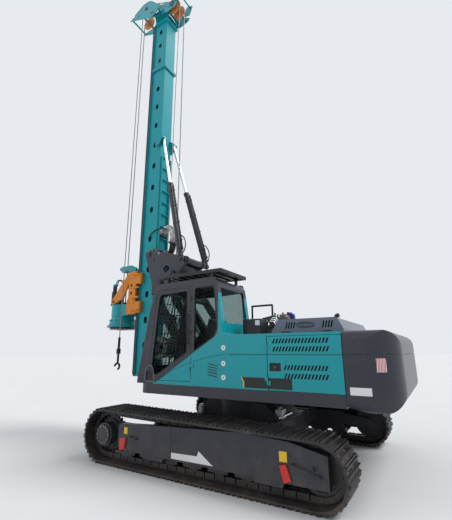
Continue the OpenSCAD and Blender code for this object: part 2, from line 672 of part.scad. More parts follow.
module rear_sheaves() rig() color(orange) {
    sheave(rear_x, rear_z, main_y, sheave_r - rope_r, 60);
    sheave(rear_x, rear_z, aux_rear_y, sheave_r - aux_rope_r, 60);
}

// Winches on the back of the mast's foot
winch_y = 250;
winch_t = 30;
main_drum_x = mast_x - 262;
main_drum_z = 1900;
main_drum_r = 190;
aux_drum_x = mast_x - 205;
aux_drum_z = 3330;
aux_drum_r = 135;
drum_shaft = 60;
module winch_plate(x, z, r) {
    both() slab(concat([[mast_x - 1, z - r - 60], [mast_x - 1, z + r + 60]], arc(x, z, r * 0.6, 100, 260, 8)),
        winch_y, winch_y + winch_t);
    both() block([mast_x - 10, mast_y - 30, z - r - 60], [mast_x - seat, winch_y + 1, z + r + 60]);
    bar(drum_shaft, x, z, -winch_y - winch_t - 3, winch_y + winch_t + 3);
    bar(drum_shaft + 75, x, z, -winch_y - winch_t + 1, -winch_y + 12, 48);
}
module winch_frame() rig() color(dark) {
    winch_plate(main_drum_x, main_drum_z, main_drum_r);
    winch_plate(aux_drum_x, aux_drum_z, aux_drum_r);
}
module drum(x, z, r, groove_n) {
    w = winch_y - 8;
    g = (2 * w - 60) / groove_n;
    translate([x, 0, z]) rotate([90, 0, 0]) rotate_extrude($fn = 64)
        polygon(concat([[drum_shaft + pin_gap, -w + 12], [r + 55, -w + 12], [r + 55, -w + 30]],
            [for (i = [0:groove_n - 1], f = [[0.1, 0], [0.5, 10], [0.9, 0]]) [r + f[1], -w + 30 + (i + f[0]) * g]],
            [[r + 55, w - 30], [r + 55, w - 12], [drum_shaft + pin_gap, w - 12]]));
}
module main_drum() rig() color(steel) drum(main_drum_x, main_drum_z, main_drum_r, 12);
module aux_drum() rig() color(steel) drum(aux_drum_x, aux_drum_z, aux_drum_r, 14);

// Crowd cylinder between the rails, its rod down to the carriage
crowd_x = mast_front + 66;
crowd_out = 56;
crowd_in = 44;
crowd_rod_r = 30;
carriage_low = flange_z + 350;
carriage_high = carriage_low + 1070;
barrel_low = carriage_high + crowd_up + 90;
barrel_high = barrel_low + crowd_up + crowd_down + 260;
module crowd_barrel() rig() color(dark) {
    translate([crowd_x, 0, barrel_low]) rotate_extrude($fn = 48)
        polygon([[crowd_rod_r + pin_gap, 0], [crowd_out + 8, 0], [crowd_out + 8, 60], [crowd_out, 60],
            [crowd_out, barrel_high - barrel_low], [0, barrel_high - barrel_low], [0, barrel_high - barrel_low - 40],
            [crowd_in, barrel_high - barrel_low - 40], [crowd_in, 60], [crowd_rod_r + pin_gap, 60]]);
    for (z = [barrel_low + 150, barrel_high - 120])
        difference() {
            block([mast_front + seat, -80, z - 40], [crowd_x + 20, 80, z + 40]);
            translate([crowd_x, 0, z - 50]) cylinder(r = crowd_out - 2, h = 100, $fn = 48);
        }
}
module crowd_rod() rig() color(silver) {
    top = barrel_low + crowd_down + 160;
    translate([crowd_x, 0, carriage_high - 180]) rotate_extrude($fn = 48)
        polygon([[0, 0], [crowd_rod_r + 22, 0], [crowd_rod_r + 22, 24], [crowd_rod_r, 24],
            [crowd_rod_r, top - carriage_high + 180 - 50], [crowd_in - pin_gap, top - carriage_high + 180 - 50],
            [crowd_in - pin_gap, top - carriage_high + 180], [0, top - carriage_high + 180]]);
}

// Carriage: side columns with claws round the rails, cross plates, arms to the power head
col_x0 = rail_front + 8;
col_x1 = 3265;
col_y0 = 165;
col_y1 = 300;
claw_gap = 6;
arm_y0 = 246;
arm_y1 = 290;
module carriage() rig() color(orange) {
    difference() {
        union() {
            both() slab([[col_x0, carriage_low], [col_x1, carriage_low], [col_x1, carriage_low + 330], [col_x1 - 40, carriage_low + 420],
                [col_x1 - 40, carriage_high - 180], [col_x1 - 10, carriage_high - 60], [col_x1 - 60, carriage_high],
                [col_x0, carriage_high]], col_y0, col_y1);
            block([3110, -col_y0 - 1, carriage_low + 20], [3200, col_y0 + 1, carriage_low + 300]);
            block([3110, -col_y0 - 1, carriage_high - 420], [3200, col_y0 + 1, carriage_high - 40]);
            block([mast_front + 18, -90, carriage_high - 154], [3111, 90, carriage_high - 60]);
        }
        translate([crowd_x, 0, carriage_high - 200]) cylinder(r = crowd_rod_r + seat, h = 200, $fn = 48);
        both() for (z = [carriage_low + 520, carriage_low + 720])
            bar(38, 3130, z, col_y0 - 1, col_y1 + 1, 32);
    }
    both() for (z = [[carriage_low + 20, carriage_low + 300], [carriage_high - 330, carriage_high - 60]]) {
        block([2800, rail_y + claw_gap, z[0]], [col_x0 + 1, col_y1, z[1]]);
        block([2800, mast_y + claw_gap, z[0]], [mast_front - claw_gap, rail_y + claw_gap + 1, z[1]]);
        block([rail_front + seat, rail_y - 80, z[0] + 20], [col_x0 + 1, rail_y - 5, z[1] - 20]);
    }
    both() for (z = [carriage_low + 80, carriage_low + 410, carriage_high - 420, carriage_high - 80])
        strut([2860, col_y1 + 6, z], [3100, col_y1 + 6, z], 27, 24);
    both() difference() {
        slab(concat(arc(3235, carriage_high - 90, 75, 40, 200, 6), [[3420, flange_z + 760]],
            arc(3765, flange_z + 700, 72, 215, 400, 6)), arm_y0, arm_y1);
        bar(30, 3765, flange_z + 700, arm_y0 - 1, arm_y1 + 1, 32);
    }
}

// Power head: gear housing with a through bore, bell below, motors and guide ring above
housing_low = flange_z + 330;
housing_high = flange_z + 620;
housing_r = 232;
head_bore = 215;
module power_head() rig() color(teal) {
    difference() {
        union() {
            translate([0, 0, housing_low]) linear_extrude(housing_high - housing_low) difference() {
                union() {
                    translate([drill_x, 0]) circle(r = 300, $fn = 72);
                    polygon([[col_x1 + seat, -236], [drill_x, -236], [drill_x + 250, -160], [drill_x + 250, 160], [drill_x, 236], [col_x1 + seat, 236]]);
                }
                translate([drill_x, 0]) circle(r = head_bore, $fn = 72);
            }
            translate([drill_x, 0, 0]) rotate_extrude($fn = 72)
                polygon([[head_bore, housing_low - 1], [head_bore, housing_low + 30], [285, housing_low + 30], [285, housing_low - 1],
                    [flange_r - 40, flange_z + 110], [flange_r, flange_z + 90], [flange_r, flange_z + 52], [flange_r - 60, flange_z + 52],
                    [flange_r - 60, flange_z + 90]]);
            both() bar(27, 3765, flange_z + 700, 195, arm_y1 + 16, 32);
            both() slab(bar_outline(3765, flange_z + 700, 3765, housing_high - 40, 60, 60), 190, arm_y0 - seat);
            for (a = [-55, 55, 180 - 48, 180 + 48]) translate([drill_x + 262 * cos(a), 262 * sin(a), housing_high - 1])
                cylinder(r = 26, h = 36, $fn = 24);
        }
        translate([drill_x, 0, housing_low - 200]) cylinder(r = head_bore, h = housing_high - housing_low + 200, $fn = 72);
    }
    guide_ring();
    for (s = [-1, 1]) {
        translate([drill_x + 255, s * 120, housing_high - 1]) cylinder(r = 88, h = 40, $fn = 48);
        translate([drill_x + 255, s * 120, housing_high + 38]) cylinder(r = 72, h = 330, $fn = 48);
        translate([drill_x + 255, s * 120, housing_high + 367]) cylinder(r = 52, h = 210, $fn = 48);
    }
}

// Guide for the main rope above the carriage, on a bracket bolted to the carriage's top
guide_low = carriage_high + 110;
guide_r = 130;
module guide_ring() {
    difference() {
        union() {
            translate([drill_x, 0, guide_low]) cylinder(r = guide_r, h = 130, $fn = 48);
            slab([[3080, carriage_high + seat], [3240, carriage_high + seat], [3290, guide_low], [drill_x, guide_low],
                [drill_x, guide_low + 70], [3280, guide_low + 100], [3080, guide_low + 20]], -col_y0 - 60, -col_y0 - 20);
            slab([[3080, carriage_high + seat], [3240, carriage_high + seat], [3290, guide_low], [drill_x, guide_low],
                [drill_x, guide_low + 70], [3280, guide_low + 100], [3080, guide_low + 20]], col_y0 + 20, col_y0 + 60);
            block([3300, -col_y0 - 21, guide_low + 10], [drill_x, col_y0 + 21, guide_low + 60]);
        }
        translate([drill_x, 0, guide_low - 1]) cylinder(r = guide_r - 45, h = 132, $fn = 48);
    }
}

// Rotating drive sleeve with its lower flange and the keys in its bore
spindle_pcd = 530;
spindle_hole_r = 11;
module drive_spindle() rig() color(dark) translate([drill_x, 0, 0]) difference() {
    drive_sleeve();
    for (i = [0:11]) rotate([0, 0, i * 30 + 15])
        translate([spindle_pcd / 2, 0, flange_z - 1]) cylinder(r = spindle_hole_r, h = 46, $fn = 24);
}
module drive_sleeve() {
    rotate_extrude($fn = 72) polygon([[bore_r, flange_z], [flange_r - 75, flange_z], [flange_r - 75, flange_z + 44],
        [head_bore - 12, flange_z + 44], [head_bore - 12, housing_low + 60], [head_bore - pin_gap, housing_low + 60],
        [head_bore - pin_gap, housing_high - 60], [bore_r + 22, housing_high - 60], [bore_r + 22, housing_high + 70],
        [bore_r, housing_high + 70]]);
    for (a = [0, 120, 240]) rotate([0, 0, a])
        translate([bore_r - 22, -22, flange_z + 60]) cube([23, 44, housing_high - flange_z - 90]);
}

// Ropes: main and auxiliary falls, spans over the head and falls to the drums
rope_x = aux_x + sheave_r;
hook_top = 2150;
// Upper tangent point of a line between two equal sheaves, on the sheave at p
function tangent_top(p, x0, z0, x1, z1) = let (l = norm([x1 - x0, z1 - z0]))
    [p[0] - sheave_r * (z1 - z0) / l, p[1], p[2] + sheave_r * (x1 - x0) / l];
module ropes() rig() color(steel) {
    main_end = flange_z + 130;
    strut([drill_x, main_y, main_end], [drill_x, main_y, front_z], rope_r, 16);
    strut(tangent_top([sheave_x, main_y, front_z], rear_x, rear_z, sheave_x, front_z),
        tangent_top([rear_x, main_y, rear_z], rear_x, rear_z, sheave_x, front_z), rope_r, 16);
    strut([rear_x - sheave_r, main_y, rear_z], [main_drum_x - main_drum_r - 10 - rope_r - seat, main_y, main_drum_z], rope_r, 16);
    strut([rope_x, aux_front_y, hook_top], [rope_x, aux_front_y, aux_z], aux_rope_r, 16);
    strut(tangent_top([aux_x, aux_front_y, aux_z], rear_x, rear_z, aux_x, aux_z),
        tangent_top([rear_x, aux_rear_y, rear_z], rear_x, rear_z, aux_x, aux_z), aux_rope_r, 16);
    strut([rear_x - sheave_r, aux_rear_y, rear_z], [aux_drum_x - aux_drum_r - 10 - aux_rope_r - seat, aux_rear_y, aux_drum_z],
        aux_rope_r, 16);
    translate([drill_x, main_y, main_end - 60]) cylinder(r = 34, h = 110, $fn = 32);
}
module rope_hook() rig() color(black) translate([rope_x, aux_front_y, 0]) {
    translate([0, 0, hook_top - 270]) cylinder(r = 30, h = 270 - seat, $fn = 32);
    translate([0, 0, hook_top - 390]) cylinder(r = 50, h = 121, $fn = 32);
    translate([0, 0, hook_top - 590]) cylinder(r = 26, h = 201, $fn = 32);
    translate([0, 10, hook_top - 680]) rotate([90, 0, 90]) rotate_extrude(angle = 250, $fn = 48) translate([70, 0]) circle(r = 24, $fn = 24);
}

// Counterweight: rounded tail block on the rear of the deck
tail_corner = 420;
tail_edge = 130;
module tail_plan(inset) {
    hull() for (s = [-1, 1]) {
        translate([-tail_reach + tail_corner, s * (upper_y - tail_corner)]) circle(r = tail_corner - inset, $fn = 64);
        translate([seam_x - 10 - seat, s * (upper_y - 10 - inset)]) circle(r = 10, $fn = 12);
    }
}
module counterweight() rig() color(dark) {
    difference() {
        intersection() {
            translate([0, 0, 1000]) linear_extrude(1300) tail_plan(0);
            slab(concat([[seam_x - seat, cover_top + 8], [seam_x - seat, deck_z - 140], [-2480, deck_z - 210]],
                arc(-2650, deck_z + 50, 250, -110, -180, 8), arc(-2700, cover_top - 190, 200, 180, 95, 8)),
                -upper_y - 1, upper_y + 1);
            translate([-tail_reach - 1, 0, 0]) rotate([90, 0, 90]) linear_extrude(tail_reach) polygon(concat(
                arc(upper_y - tail_edge, cover_top + 10 - tail_edge, tail_edge, 0, 90, 8),
                arc(-upper_y + tail_edge, cover_top + 10 - tail_edge, tail_edge, 90, 180, 8),
                arc(-upper_y + tail_edge, deck_z - 210 + tail_edge, tail_edge, 180, 270, 6),
                arc(upper_y - tail_edge, deck_z - 210 + tail_edge, tail_edge, 270, 360, 6)));
        }
        translate([0, 0, 1764]) linear_extrude(12) difference() {
            translate([-4000, -2000]) square([4000 + seam_x + 1, 4000]);
            tail_plan(12);
        }
        for (s = [-1, 1])
            translate([-2500, s * 900, cover_top - 60]) cylinder(r = 60, h = 100, $fn = 32);
    }
    for (s = [-1, 1])
        translate([-2500, s * 900, cover_top - 61]) cylinder(r = 22, h = 70, $fn = 24);
}

// Engine: plain block of its size and place
module engine_block() rig() color(steel)
    block([-2100, -520, deck_z + seat], [-1100, 420, 1930]);

// Side and top covers
front_seam = -470;
door_seam = -1130;
hood_x0 = -2180;
hood_x1 = -1050;
hood_y0 = -860;
hood_y1 = 1180;
seam = 5;
tank_x0 = -600;
tank_y = -560;
knuckle_r = 11;
knuckle_out = knuckle_r + seat;
knuckle_h = 60;
module hood_opening() {
    block([hood_x0 + 40, hood_y0 + 40, cover_top - panel_t - 1], [hood_x1 - 40, hood_y1 - 40, cover_top + 1]);
}
module side_cover_left() rig() color(teal) {
    difference() {
        block([seam_x + seam, seat, cover_top - panel_t], [front_seam - seat, upper_y, cover_top]);
        hood_opening();
    }
    block([door_seam + seam, upper_y - panel_t, deck_z + seat], [front_seam - seat, upper_y, cover_top - panel_t + 1]);
    block([front_seam - panel_t, seat, deck_z + seat], [front_seam - seat, upper_y - panel_t + 1, cover_top - panel_t + 1]);
    for (z = [1400, 1880]) {
        bar_z(knuckle_r, door_seam, upper_y + knuckle_out, z + seat, z + knuckle_h);
        block([door_seam + 2, upper_y - 1, z + seat], [door_seam + 45, upper_y + 6, z + knuckle_h]);
    }
}
// Each row of slots: first place, number of slots, height of the middle
slot_rows = [[-1245, 17, 1960], [-1245, 17, 1845], [-1410, 13, 1590], [-1410, 13, 1475]];
slot_step = 49;
slot_rise = 34;
slot_lean = 15;
module slots(y0, y1) {
    for (line = slot_rows) for (i = [0:line[1] - 1]) {
        x = line[0] - i * slot_step;
        slab([[x + slot_lean - 13, line[2] - slot_rise], [x + slot_lean + 13, line[2] - slot_rise],
            [x - slot_lean + 13, line[2] + slot_rise], [x - slot_lean - 13, line[2] + slot_rise]], y0, y1);
    }
}
module louvre_door_left() rig() color(teal) {
    door_in = upper_y - panel_t;
    x0 = seam_x + seam;
    x1 = door_seam - seam;
    difference() {
        block([x0, door_in, deck_z + seam], [x1, upper_y, cover_top - panel_t - seam]);
        slots(door_in + 12, upper_y + 1);
        block([-1340, upper_y - 18, 1535], [-1165, upper_y + 1, 1650]);
    }
    bar(16, -1250, 1590, upper_y - 19, upper_y - 6, 24);
    for (z = [1400, 1880]) {
        bar_z(knuckle_r, door_seam, upper_y + knuckle_out, z - knuckle_h, z);
        block([door_seam - 2, upper_y - 1, z - knuckle_h], [door_seam - 45, upper_y + 6, z]);
    }
}
module side_cover_right() rig() color(teal) {
    difference() {
        union() {
            block([seam_x + seam, -upper_y, cover_top - panel_t], [tank_x0 - seat, -seat, cover_top]);
            block([tank_x0 - 20, tank_y + seat, cover_top - panel_t], [front_seam - seat, -seat, cover_top]);
        }
        hood_opening();
    }
    difference() {
        block([seam_x + seam, -upper_y, deck_z + seat], [tank_x0 - seat, -upper_y + panel_t, cover_top - panel_t + 1]);
        slots(-upper_y - 1, -upper_y + panel_t - 12);
    }
    block([front_seam - panel_t, -540, deck_z + seat], [front_seam - seat, -seat, cover_top - panel_t + 1]);
}

// Tank housing, tool box and steps on the right
module tank_housing() rig() color(teal) {
    difference() {
        block([tank_x0, -upper_y, deck_z + seat], [620, tank_y, cover_top]);
        block([-560, -upper_y + 12, 1330], [580, -upper_y - 1, 1980]);
    }
    difference() {
        slab([[620 - 1, deck_z + seat], [1300, deck_z + seat], [1300, 1560], [1240, 1620], [620 - 1, 1700]], -upper_y, tank_y);
        block([900, -upper_y - 1, 1380], [1301, -upper_y + 240, 1480]);
    }
    for (y = [-1180, -860])
        translate([-150, y, cover_top - 1]) cylinder(r = 75, h = 46, $fn = 32);
}

// Engine hood with its sloping sides and slots
module engine_hood() rig() color(hood_grey) {
    difference() {
        slab([[hood_x0, cover_top + seat], [hood_x1, cover_top + seat], [hood_x1 - 20, cover_top + 60],
            [hood_x1 - 110, cover_top + 215], [hood_x1 - 150, cover_top + 228], [hood_x0 + 120, cover_top + 228],
            [hood_x0 + 80, cover_top + 215], [hood_x0, cover_top + 60]], hood_y0, hood_y1);
        slab([[hood_x0 + 30, cover_top - 1], [hood_x1 - 30, cover_top - 1], [hood_x1 - 50, cover_top + 60],
            [hood_x1 - 130, cover_top + 198], [hood_x0 + 105, cover_top + 198], [hood_x0 + 30, cover_top + 60]],
            hood_y0 + 30, hood_y1 - 30);
        for (i = [0:3]) for (x = [hood_x1 - 290, hood_x0 + 260])
            slab([[x - i * 42 + 30, cover_top + 80], [x - i * 42 + 52, cover_top + 80], [x - i * 42 + 26, cover_top + 180], [x - i * 42 + 4, cover_top + 180]],
                hood_y1 - 31, hood_y1 + 1);
    }
    translate([hood_x0 + 300, 300, cover_top + 227]) cylinder(r = 55, h = 60, $fn = 32);
}

// Cab outlines in X and Z
cab_in = upper_y - cab_w;
cab_low = deck_z + seat;
front_lean = [[1485, cab_low], [1478, cab_low + 120], [1250, 2575], [1125, cab_roof - 90]];
cab_outline = concat(front_lean, [[1085, cab_roof - 45], [1020, cab_roof - 18], [-130, cab_roof], [-215, cab_roof - 40],
    [-250, cab_roof - 110], [-335, 2330], [-345, 2110], [-470 + seat, 2065], [-470 + seat, cab_low]]);
cab_space = [[1425, cab_low + cab_wall], [1200, 2560], [1080, cab_roof - 90], [1010, cab_roof - 62], [-150, cab_roof - 46],
    [-200, cab_roof - 110], [-285, 2330], [-295, 2070], [-425, 2030], [-425, cab_low + cab_wall]];
door_outline = [[1405, cab_low + 60], [1400, 1420], [1190, 2560], [1085, 2880], [1045, 2925], [door_rear, 2945], [door_rear, cab_low + 60]];
door_window = [[1150, 1560], [1030, 2780], [985, 2840], [door_rear + 110, 2860], [door_rear + 90, 1800], [1010, 1420], [1110, 1420]];
rear_window = [[215, 2890], [-150, 2905], [-190, 2860], [-250, 2200], [-200, 2060], [215, 1815]];
right_window = [[1180, 1720], [1040, 2800], [990, 2850], [-150, 2890], [-190, 2840], [-240, 2200], [-190, 2060], [300, 1700]];
front_low = 1560;
front_high = 2900;
front_side = 62;
back_low = 2280;
back_high = 2880;
function front_x(z) = z < 2575 ? lookup(z, [[cab_low + 120, 1478], [2575, 1250]]) : lookup(z, [[2575, 1250], [cab_roof - 90, 1125]]);
function back_x(z) = lookup(z, [[2330, -335], [cab_roof - 110, -250]]);
door_gap = 6;
hinge_in = 18;
door_hinge_z = [1560, 2160, 2740];
module cab_shell() rig() color(dark) {
    difference() {
        slab(cab_outline, cab_in, upper_y);
        slab(cab_space, cab_in + cab_wall, upper_y - cab_wall);
        slab(door_outline, upper_y - cab_wall - 1, upper_y + 1);
        slab(rear_window, upper_y - cab_wall - 1, upper_y + 1);
        slab(right_window, cab_in - 1, cab_in + cab_wall + 1);
        block([1000, cab_in + front_side, front_low], [1500, upper_y - front_side, front_high]);
        block([-400, cab_in + front_side + 40, back_low], [-190, upper_y - front_side - 40, back_high]);
        translate([500, (cab_in + upper_y) / 2, cab_roof - 80]) cylinder(r = 60, h = 90, $fn = 32);
    }
    for (z = door_hinge_z) {
        bar_z(knuckle_r, door_rear + hinge_in, upper_y + knuckle_out, z + seat, z + knuckle_h);
        block([door_rear - 60, upper_y - 1, z + seat], [door_rear - 1, upper_y + 14, z + knuckle_h]);
        block([door_rear - 2, upper_y + 2, z + seat], [door_rear + hinge_in, upper_y + 14, z + knuckle_h]);
    }
}
function shrink(points, k) =
    let (c = [for (j = [0, 1]) let (v = [for (p = points) p[j]]) (min(v) + max(v)) / 2])
    [for (p = points) [for (j = [0, 1]) p[j] + (p[j] > c[j] ? -k : k)]];
module cab_door() rig() color(dark) {
    door_y = upper_y - cab_wall;
    difference() {
        slab(shrink(door_outline, door_gap), door_y, upper_y);
        slab(door_window, door_y - 1, upper_y + 1);
        block([1130, upper_y - 22, 1330], [1270, upper_y + 1, 1470]);
    }
    block([1150, upper_y - 23, 1385], [1250, upper_y - 4, 1415]);
    for (z = door_hinge_z) {
        bar_z(knuckle_r, door_rear + hinge_in, upper_y + knuckle_out, z - knuckle_h, z);
        block([door_rear + hinge_in, upper_y - 1, z - knuckle_h], [door_rear + hinge_in + 50, upper_y + 10, z]);
    }
}
module bar_z(r, x, y, z0, z1, fn = 24) {
    translate([x, y, z0]) cylinder(r = r, h = z1 - z0, $fn = fn);
}
pane = cab_wall / 2;
module cab_glass() rig() color(glass) {
    slab(shrink(rear_window, seat), upper_y - pane - glass_t, upper_y - pane);
    slab(shrink(right_window, seat), cab_in + pane, cab_in + pane + glass_t);
    slab([[front_x(front_low + seat) - 14, front_low + seat], [front_x(2575) - 14, 2575], [front_x(front_high - seat) - 14, front_high - seat],
        [front_x(front_high - seat) - 14 - glass_t, front_high - seat], [front_x(2575) - 14 - glass_t, 2575],
        [front_x(front_low + seat) - 14 - glass_t, front_low + seat]], cab_in + front_side + seat, upper_y - front_side - seat);
    slab([[back_x(2330) + 14, back_low + seat], [back_x(2330) + 14 + glass_t, back_low + seat],
        [back_x(back_high) + 14 + glass_t, back_high - seat], [back_x(back_high) + 14, back_high - seat]],
        cab_in + front_side + 40 + seat, upper_y - front_side - 40 - seat);
}
module door_glass() rig() color(glass)
    slab(shrink(door_window, seat), upper_y - pane - glass_t, upper_y - pane);

// Seat on its stand, with the console in front
module cab_seat() rig() color(black) {
    y = (cab_in + upper_y) / 2;
    floor_z = cab_low + cab_wall + seat;
    block([180, y - 200, floor_z], [560, y + 200, floor_z + 260]);
    slab([[140, floor_z + 259], [640, floor_z + 259], [660, floor_z + 350], [640, floor_z + 390], [160, floor_z + 370]], y - 250, y + 250);
    slab([[150, floor_z + 350], [250, floor_z + 360], [90, floor_z + 1060], [10, floor_z + 1040]], y - 240, y + 240);
    for (s = [-1, 1]) {
        block([200, y + s * 251 - 1, floor_z + 200], [650, y + s * 350, floor_z + 470]);
        strut([560, y + s * 300, floor_z + 460], [600, y + s * 300, floor_z + 640], 16, 16);
        strut([600, y + s * 300, floor_z + 630], [600, y + s * 300, floor_z + 700], 24, 16);
        block([199, y + s * 190, floor_z + 200], [400, y + s * 252, floor_z + 300]);
    }
    block([1050, y - 120, floor_z], [1250, y + 120, floor_z + 90]);
    for (s = [-1, 1])
        strut([1150, y + s * 70, floor_z + 80], [1080, y + s * 70, floor_z + 420], 14, 16);
}

// Roof guard and handrails
function roof_at(x) = lookup(x, [[-130, cab_roof], [1020, cab_roof - 18]]);
module guard_rails() rig() color(black) {
    guard_z = cab_roof + 110;
    for (s = [cab_in + 60, upper_y - 110]) for (x = [-120, 880])
        block([x, s, roof_at(x) + seat], [x + 40, s + 50, guard_z]);
    for (s = [cab_in + 60, upper_y - 110])
        block([-260, s, guard_z - 1], [960, s + 50, guard_z + 50]);
    for (i = [0:7])
        block([-250 + i * 165, cab_in + 109, guard_z + 5], [-190 + i * 165, upper_y - 109, guard_z + 35]);
    for (x = [-620, -180])
        strut([x, 120, cover_top + seat], [x, 120, 2700], 19, 16);
    strut([-620, 120, 2690], [-180, 120, 2690], 19, 16);
}

car_body();
slew_ring();
track_frame_left();
track_frame_right();
track_left();
track_right();
running_gear_left();
running_gear_right();
upper_frame();
counterweight();
engine_block();
side_cover_left();
louvre_door_left();
side_cover_right();
tank_housing();
engine_hood();
cab_shell();
cab_door();
cab_glass();
door_glass();
cab_seat();
guard_rails();
luffing_arm();
parallel_link();
luffing_barrels();
luffing_rods();
mast_carrier();
mast_barrel_left();
mast_barrel_right();
mast_rod_left();
mast_rod_right();
mast();
mast_head();
main_sheave_front();
aux_sheave_front();
rear_sheaves();
winch_frame();
main_drum();
aux_drum();
crowd_barrel();
crowd_rod();
carriage();
power_head();
drive_spindle();
ropes();
rope_hook();
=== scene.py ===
import math

import bmesh
import bpy
from mathutils import Matrix, Vector


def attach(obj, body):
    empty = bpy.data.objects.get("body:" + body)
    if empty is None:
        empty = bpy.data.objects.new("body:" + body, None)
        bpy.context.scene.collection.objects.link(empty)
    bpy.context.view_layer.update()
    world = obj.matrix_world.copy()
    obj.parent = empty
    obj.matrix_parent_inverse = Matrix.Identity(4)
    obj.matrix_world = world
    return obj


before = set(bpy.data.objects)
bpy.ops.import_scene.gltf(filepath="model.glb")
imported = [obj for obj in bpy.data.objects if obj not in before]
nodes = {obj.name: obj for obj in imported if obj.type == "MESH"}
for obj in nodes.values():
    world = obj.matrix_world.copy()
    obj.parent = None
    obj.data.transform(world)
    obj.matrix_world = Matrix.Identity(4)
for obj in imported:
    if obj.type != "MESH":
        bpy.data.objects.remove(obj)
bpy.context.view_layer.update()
scene = bpy.context.scene
scene.view_settings.view_transform = "Standard"

# The machine's slewing axis stands this far behind the frame's origin
SLEW_X = -0.585


def at(x, y, z):
    """A place in metres measured from the slewing axis, as a point of the frame."""
    return Vector((x + SLEW_X, y, z))


# Camera
LENS_PX, FRAME_HEIGHT_PX, SENSOR_MM = 341.6, 520, 36
EYE = (-3.925, 6.337, 1.833)
HEADING = (0.5193, -0.8546)
PITCH, ROLL = math.radians(14.79), math.radians(-0.27)


def aim_camera():
    camera = bpy.data.cameras.new("camera")
    camera.sensor_fit = "VERTICAL"
    camera.sensor_width = camera.sensor_height = SENSOR_MM
    camera.lens = LENS_PX / FRAME_HEIGHT_PX * SENSOR_MM
    camera.clip_end = 400
    eye = bpy.data.objects.new("camera", camera)
    scene.collection.objects.link(eye)
    look = Vector((HEADING[0] * math.cos(PITCH), HEADING[1] * math.cos(PITCH), math.sin(PITCH)))
    turn = look.to_track_quat("-Z", "Y").to_matrix().to_4x4()
    eye.matrix_world = Matrix.Translation(EYE) @ turn @ Matrix.Rotation(ROLL, 4, "Z")
    scene.camera = eye


aim_camera()


# Node helpers
def link(tree, source, target):
    tree.links.new(source, target)


def feed(tree, node, values):
    """Gives a node's inputs their values or links."""
    for key, value in dict(values).items():
        if isinstance(value, bpy.types.NodeSocket):
            link(tree, value, node.inputs[key])
        else:
            node.inputs[key].default_value = value


def add(tree, kind, values=(), **settings):
    """A node with its settings and its input values or links."""
    node = tree.nodes.new(kind)
    for name, value in settings.items():
        setattr(node, name, value)
    feed(tree, node, values)
    return node


def maths(tree, operation, a, b=0.0, c=0.0, clamp=False):
    return add(tree, "ShaderNodeMath", {0: a, 1: b, 2: c}, operation=operation, use_clamp=clamp).outputs[0]


def times(tree, a, b, clamp=False):
    return maths(tree, "MULTIPLY", a, b, clamp=clamp)


def plus(tree, a, b, clamp=False):
    return maths(tree, "ADD", a, b, clamp=clamp)


def minus(tree, a, b):
    return maths(tree, "SUBTRACT", a, b)


def blend_colour(tree, share, a, b):
    return add(tree, "ShaderNodeMix", {0: share, 6: a, 7: b}, data_type="RGBA", blend_type="MIX").outputs[2]


def spread(tree, value, low, high, to_low=0.0, to_high=1.0):
    return add(tree, "ShaderNodeMapRange", {0: value, 1: low, 2: high, 3: to_low, 4: to_high}).outputs[0]


def stretch(tree, vector, scale):
    return add(tree, "ShaderNodeMapping", {"Vector": vector, "Scale": scale}).outputs[0]


def noise(tree, vector, scale, detail=4.0, rough=0.55, out=0):
    values = {"Vector": vector, "Scale": scale, "Detail": detail, "Roughness": rough}
    return add(tree, "ShaderNodeTexNoise", values).outputs[out]


def wave(tree, vector, scale, direction, distortion=0.0):
    values = {"Vector": vector, "Scale": scale, "Distortion": distortion}
    return add(tree, "ShaderNodeTexWave", values, bands_direction=direction).outputs["Fac"]


def xyz(tree, vector):
    return add(tree, "ShaderNodeSeparateXYZ", {0: vector}).outputs


def face_normal(tree):
    return add(tree, "ShaderNodeNewGeometry").outputs["Normal"]


def group(name, inputs, outputs):
    """A shader group with named inputs and outputs, and its two end nodes."""
    tree = bpy.data.node_groups.new(name, "ShaderNodeTree")
    for label, kind, value in inputs:
        socket = tree.interface.new_socket(label, in_out="INPUT", socket_type="NodeSocket" + kind)
        if value is not None:
            socket.default_value = value
    for label, kind in outputs:
        tree.interface.new_socket(label, in_out="OUTPUT", socket_type="NodeSocket" + kind)
    return tree, tree.nodes.new("NodeGroupInput").outputs, tree.nodes.new("NodeGroupOutput").inputs


# Shared effects
def make_paint_film():
    """Sprayed paint: slow change of tone, fine orange peel, and a rain-washed gloss."""
    tree, given, put = group(
        "paint_film",
        [("Vector", "Vector", None), ("Paint", "Color", (1, 1, 1, 1)), ("Tone", "Float", 0.1),
         ("Gloss", "Float", 0.35)],
        [("Color", "Color"), ("Roughness", "Float"), ("Height", "Float")])
    slow = noise(tree, given["Vector"], 1.1, 3)
    streak = noise(tree, stretch(tree, given["Vector"], (9, 9, 0.7)), 1.6, 5, 0.6)
    tone = plus(tree, times(tree, slow, 0.85), times(tree, streak, 0.15))
    lift = times(tree, minus(tree, tone, 0.5), given["Tone"])
    shade = add(tree, "ShaderNodeHueSaturation", {"Color": given["Paint"], "Value": plus(tree, lift, 1.0)})
    washed = times(tree, minus(tree, streak, 0.45), 0.22)
    link(tree, shade.outputs[0], put["Color"])
    link(tree, plus(tree, given["Gloss"], washed), put["Roughness"])
    link(tree, noise(tree, given["Vector"], 210, 2), put["Height"])
    return tree


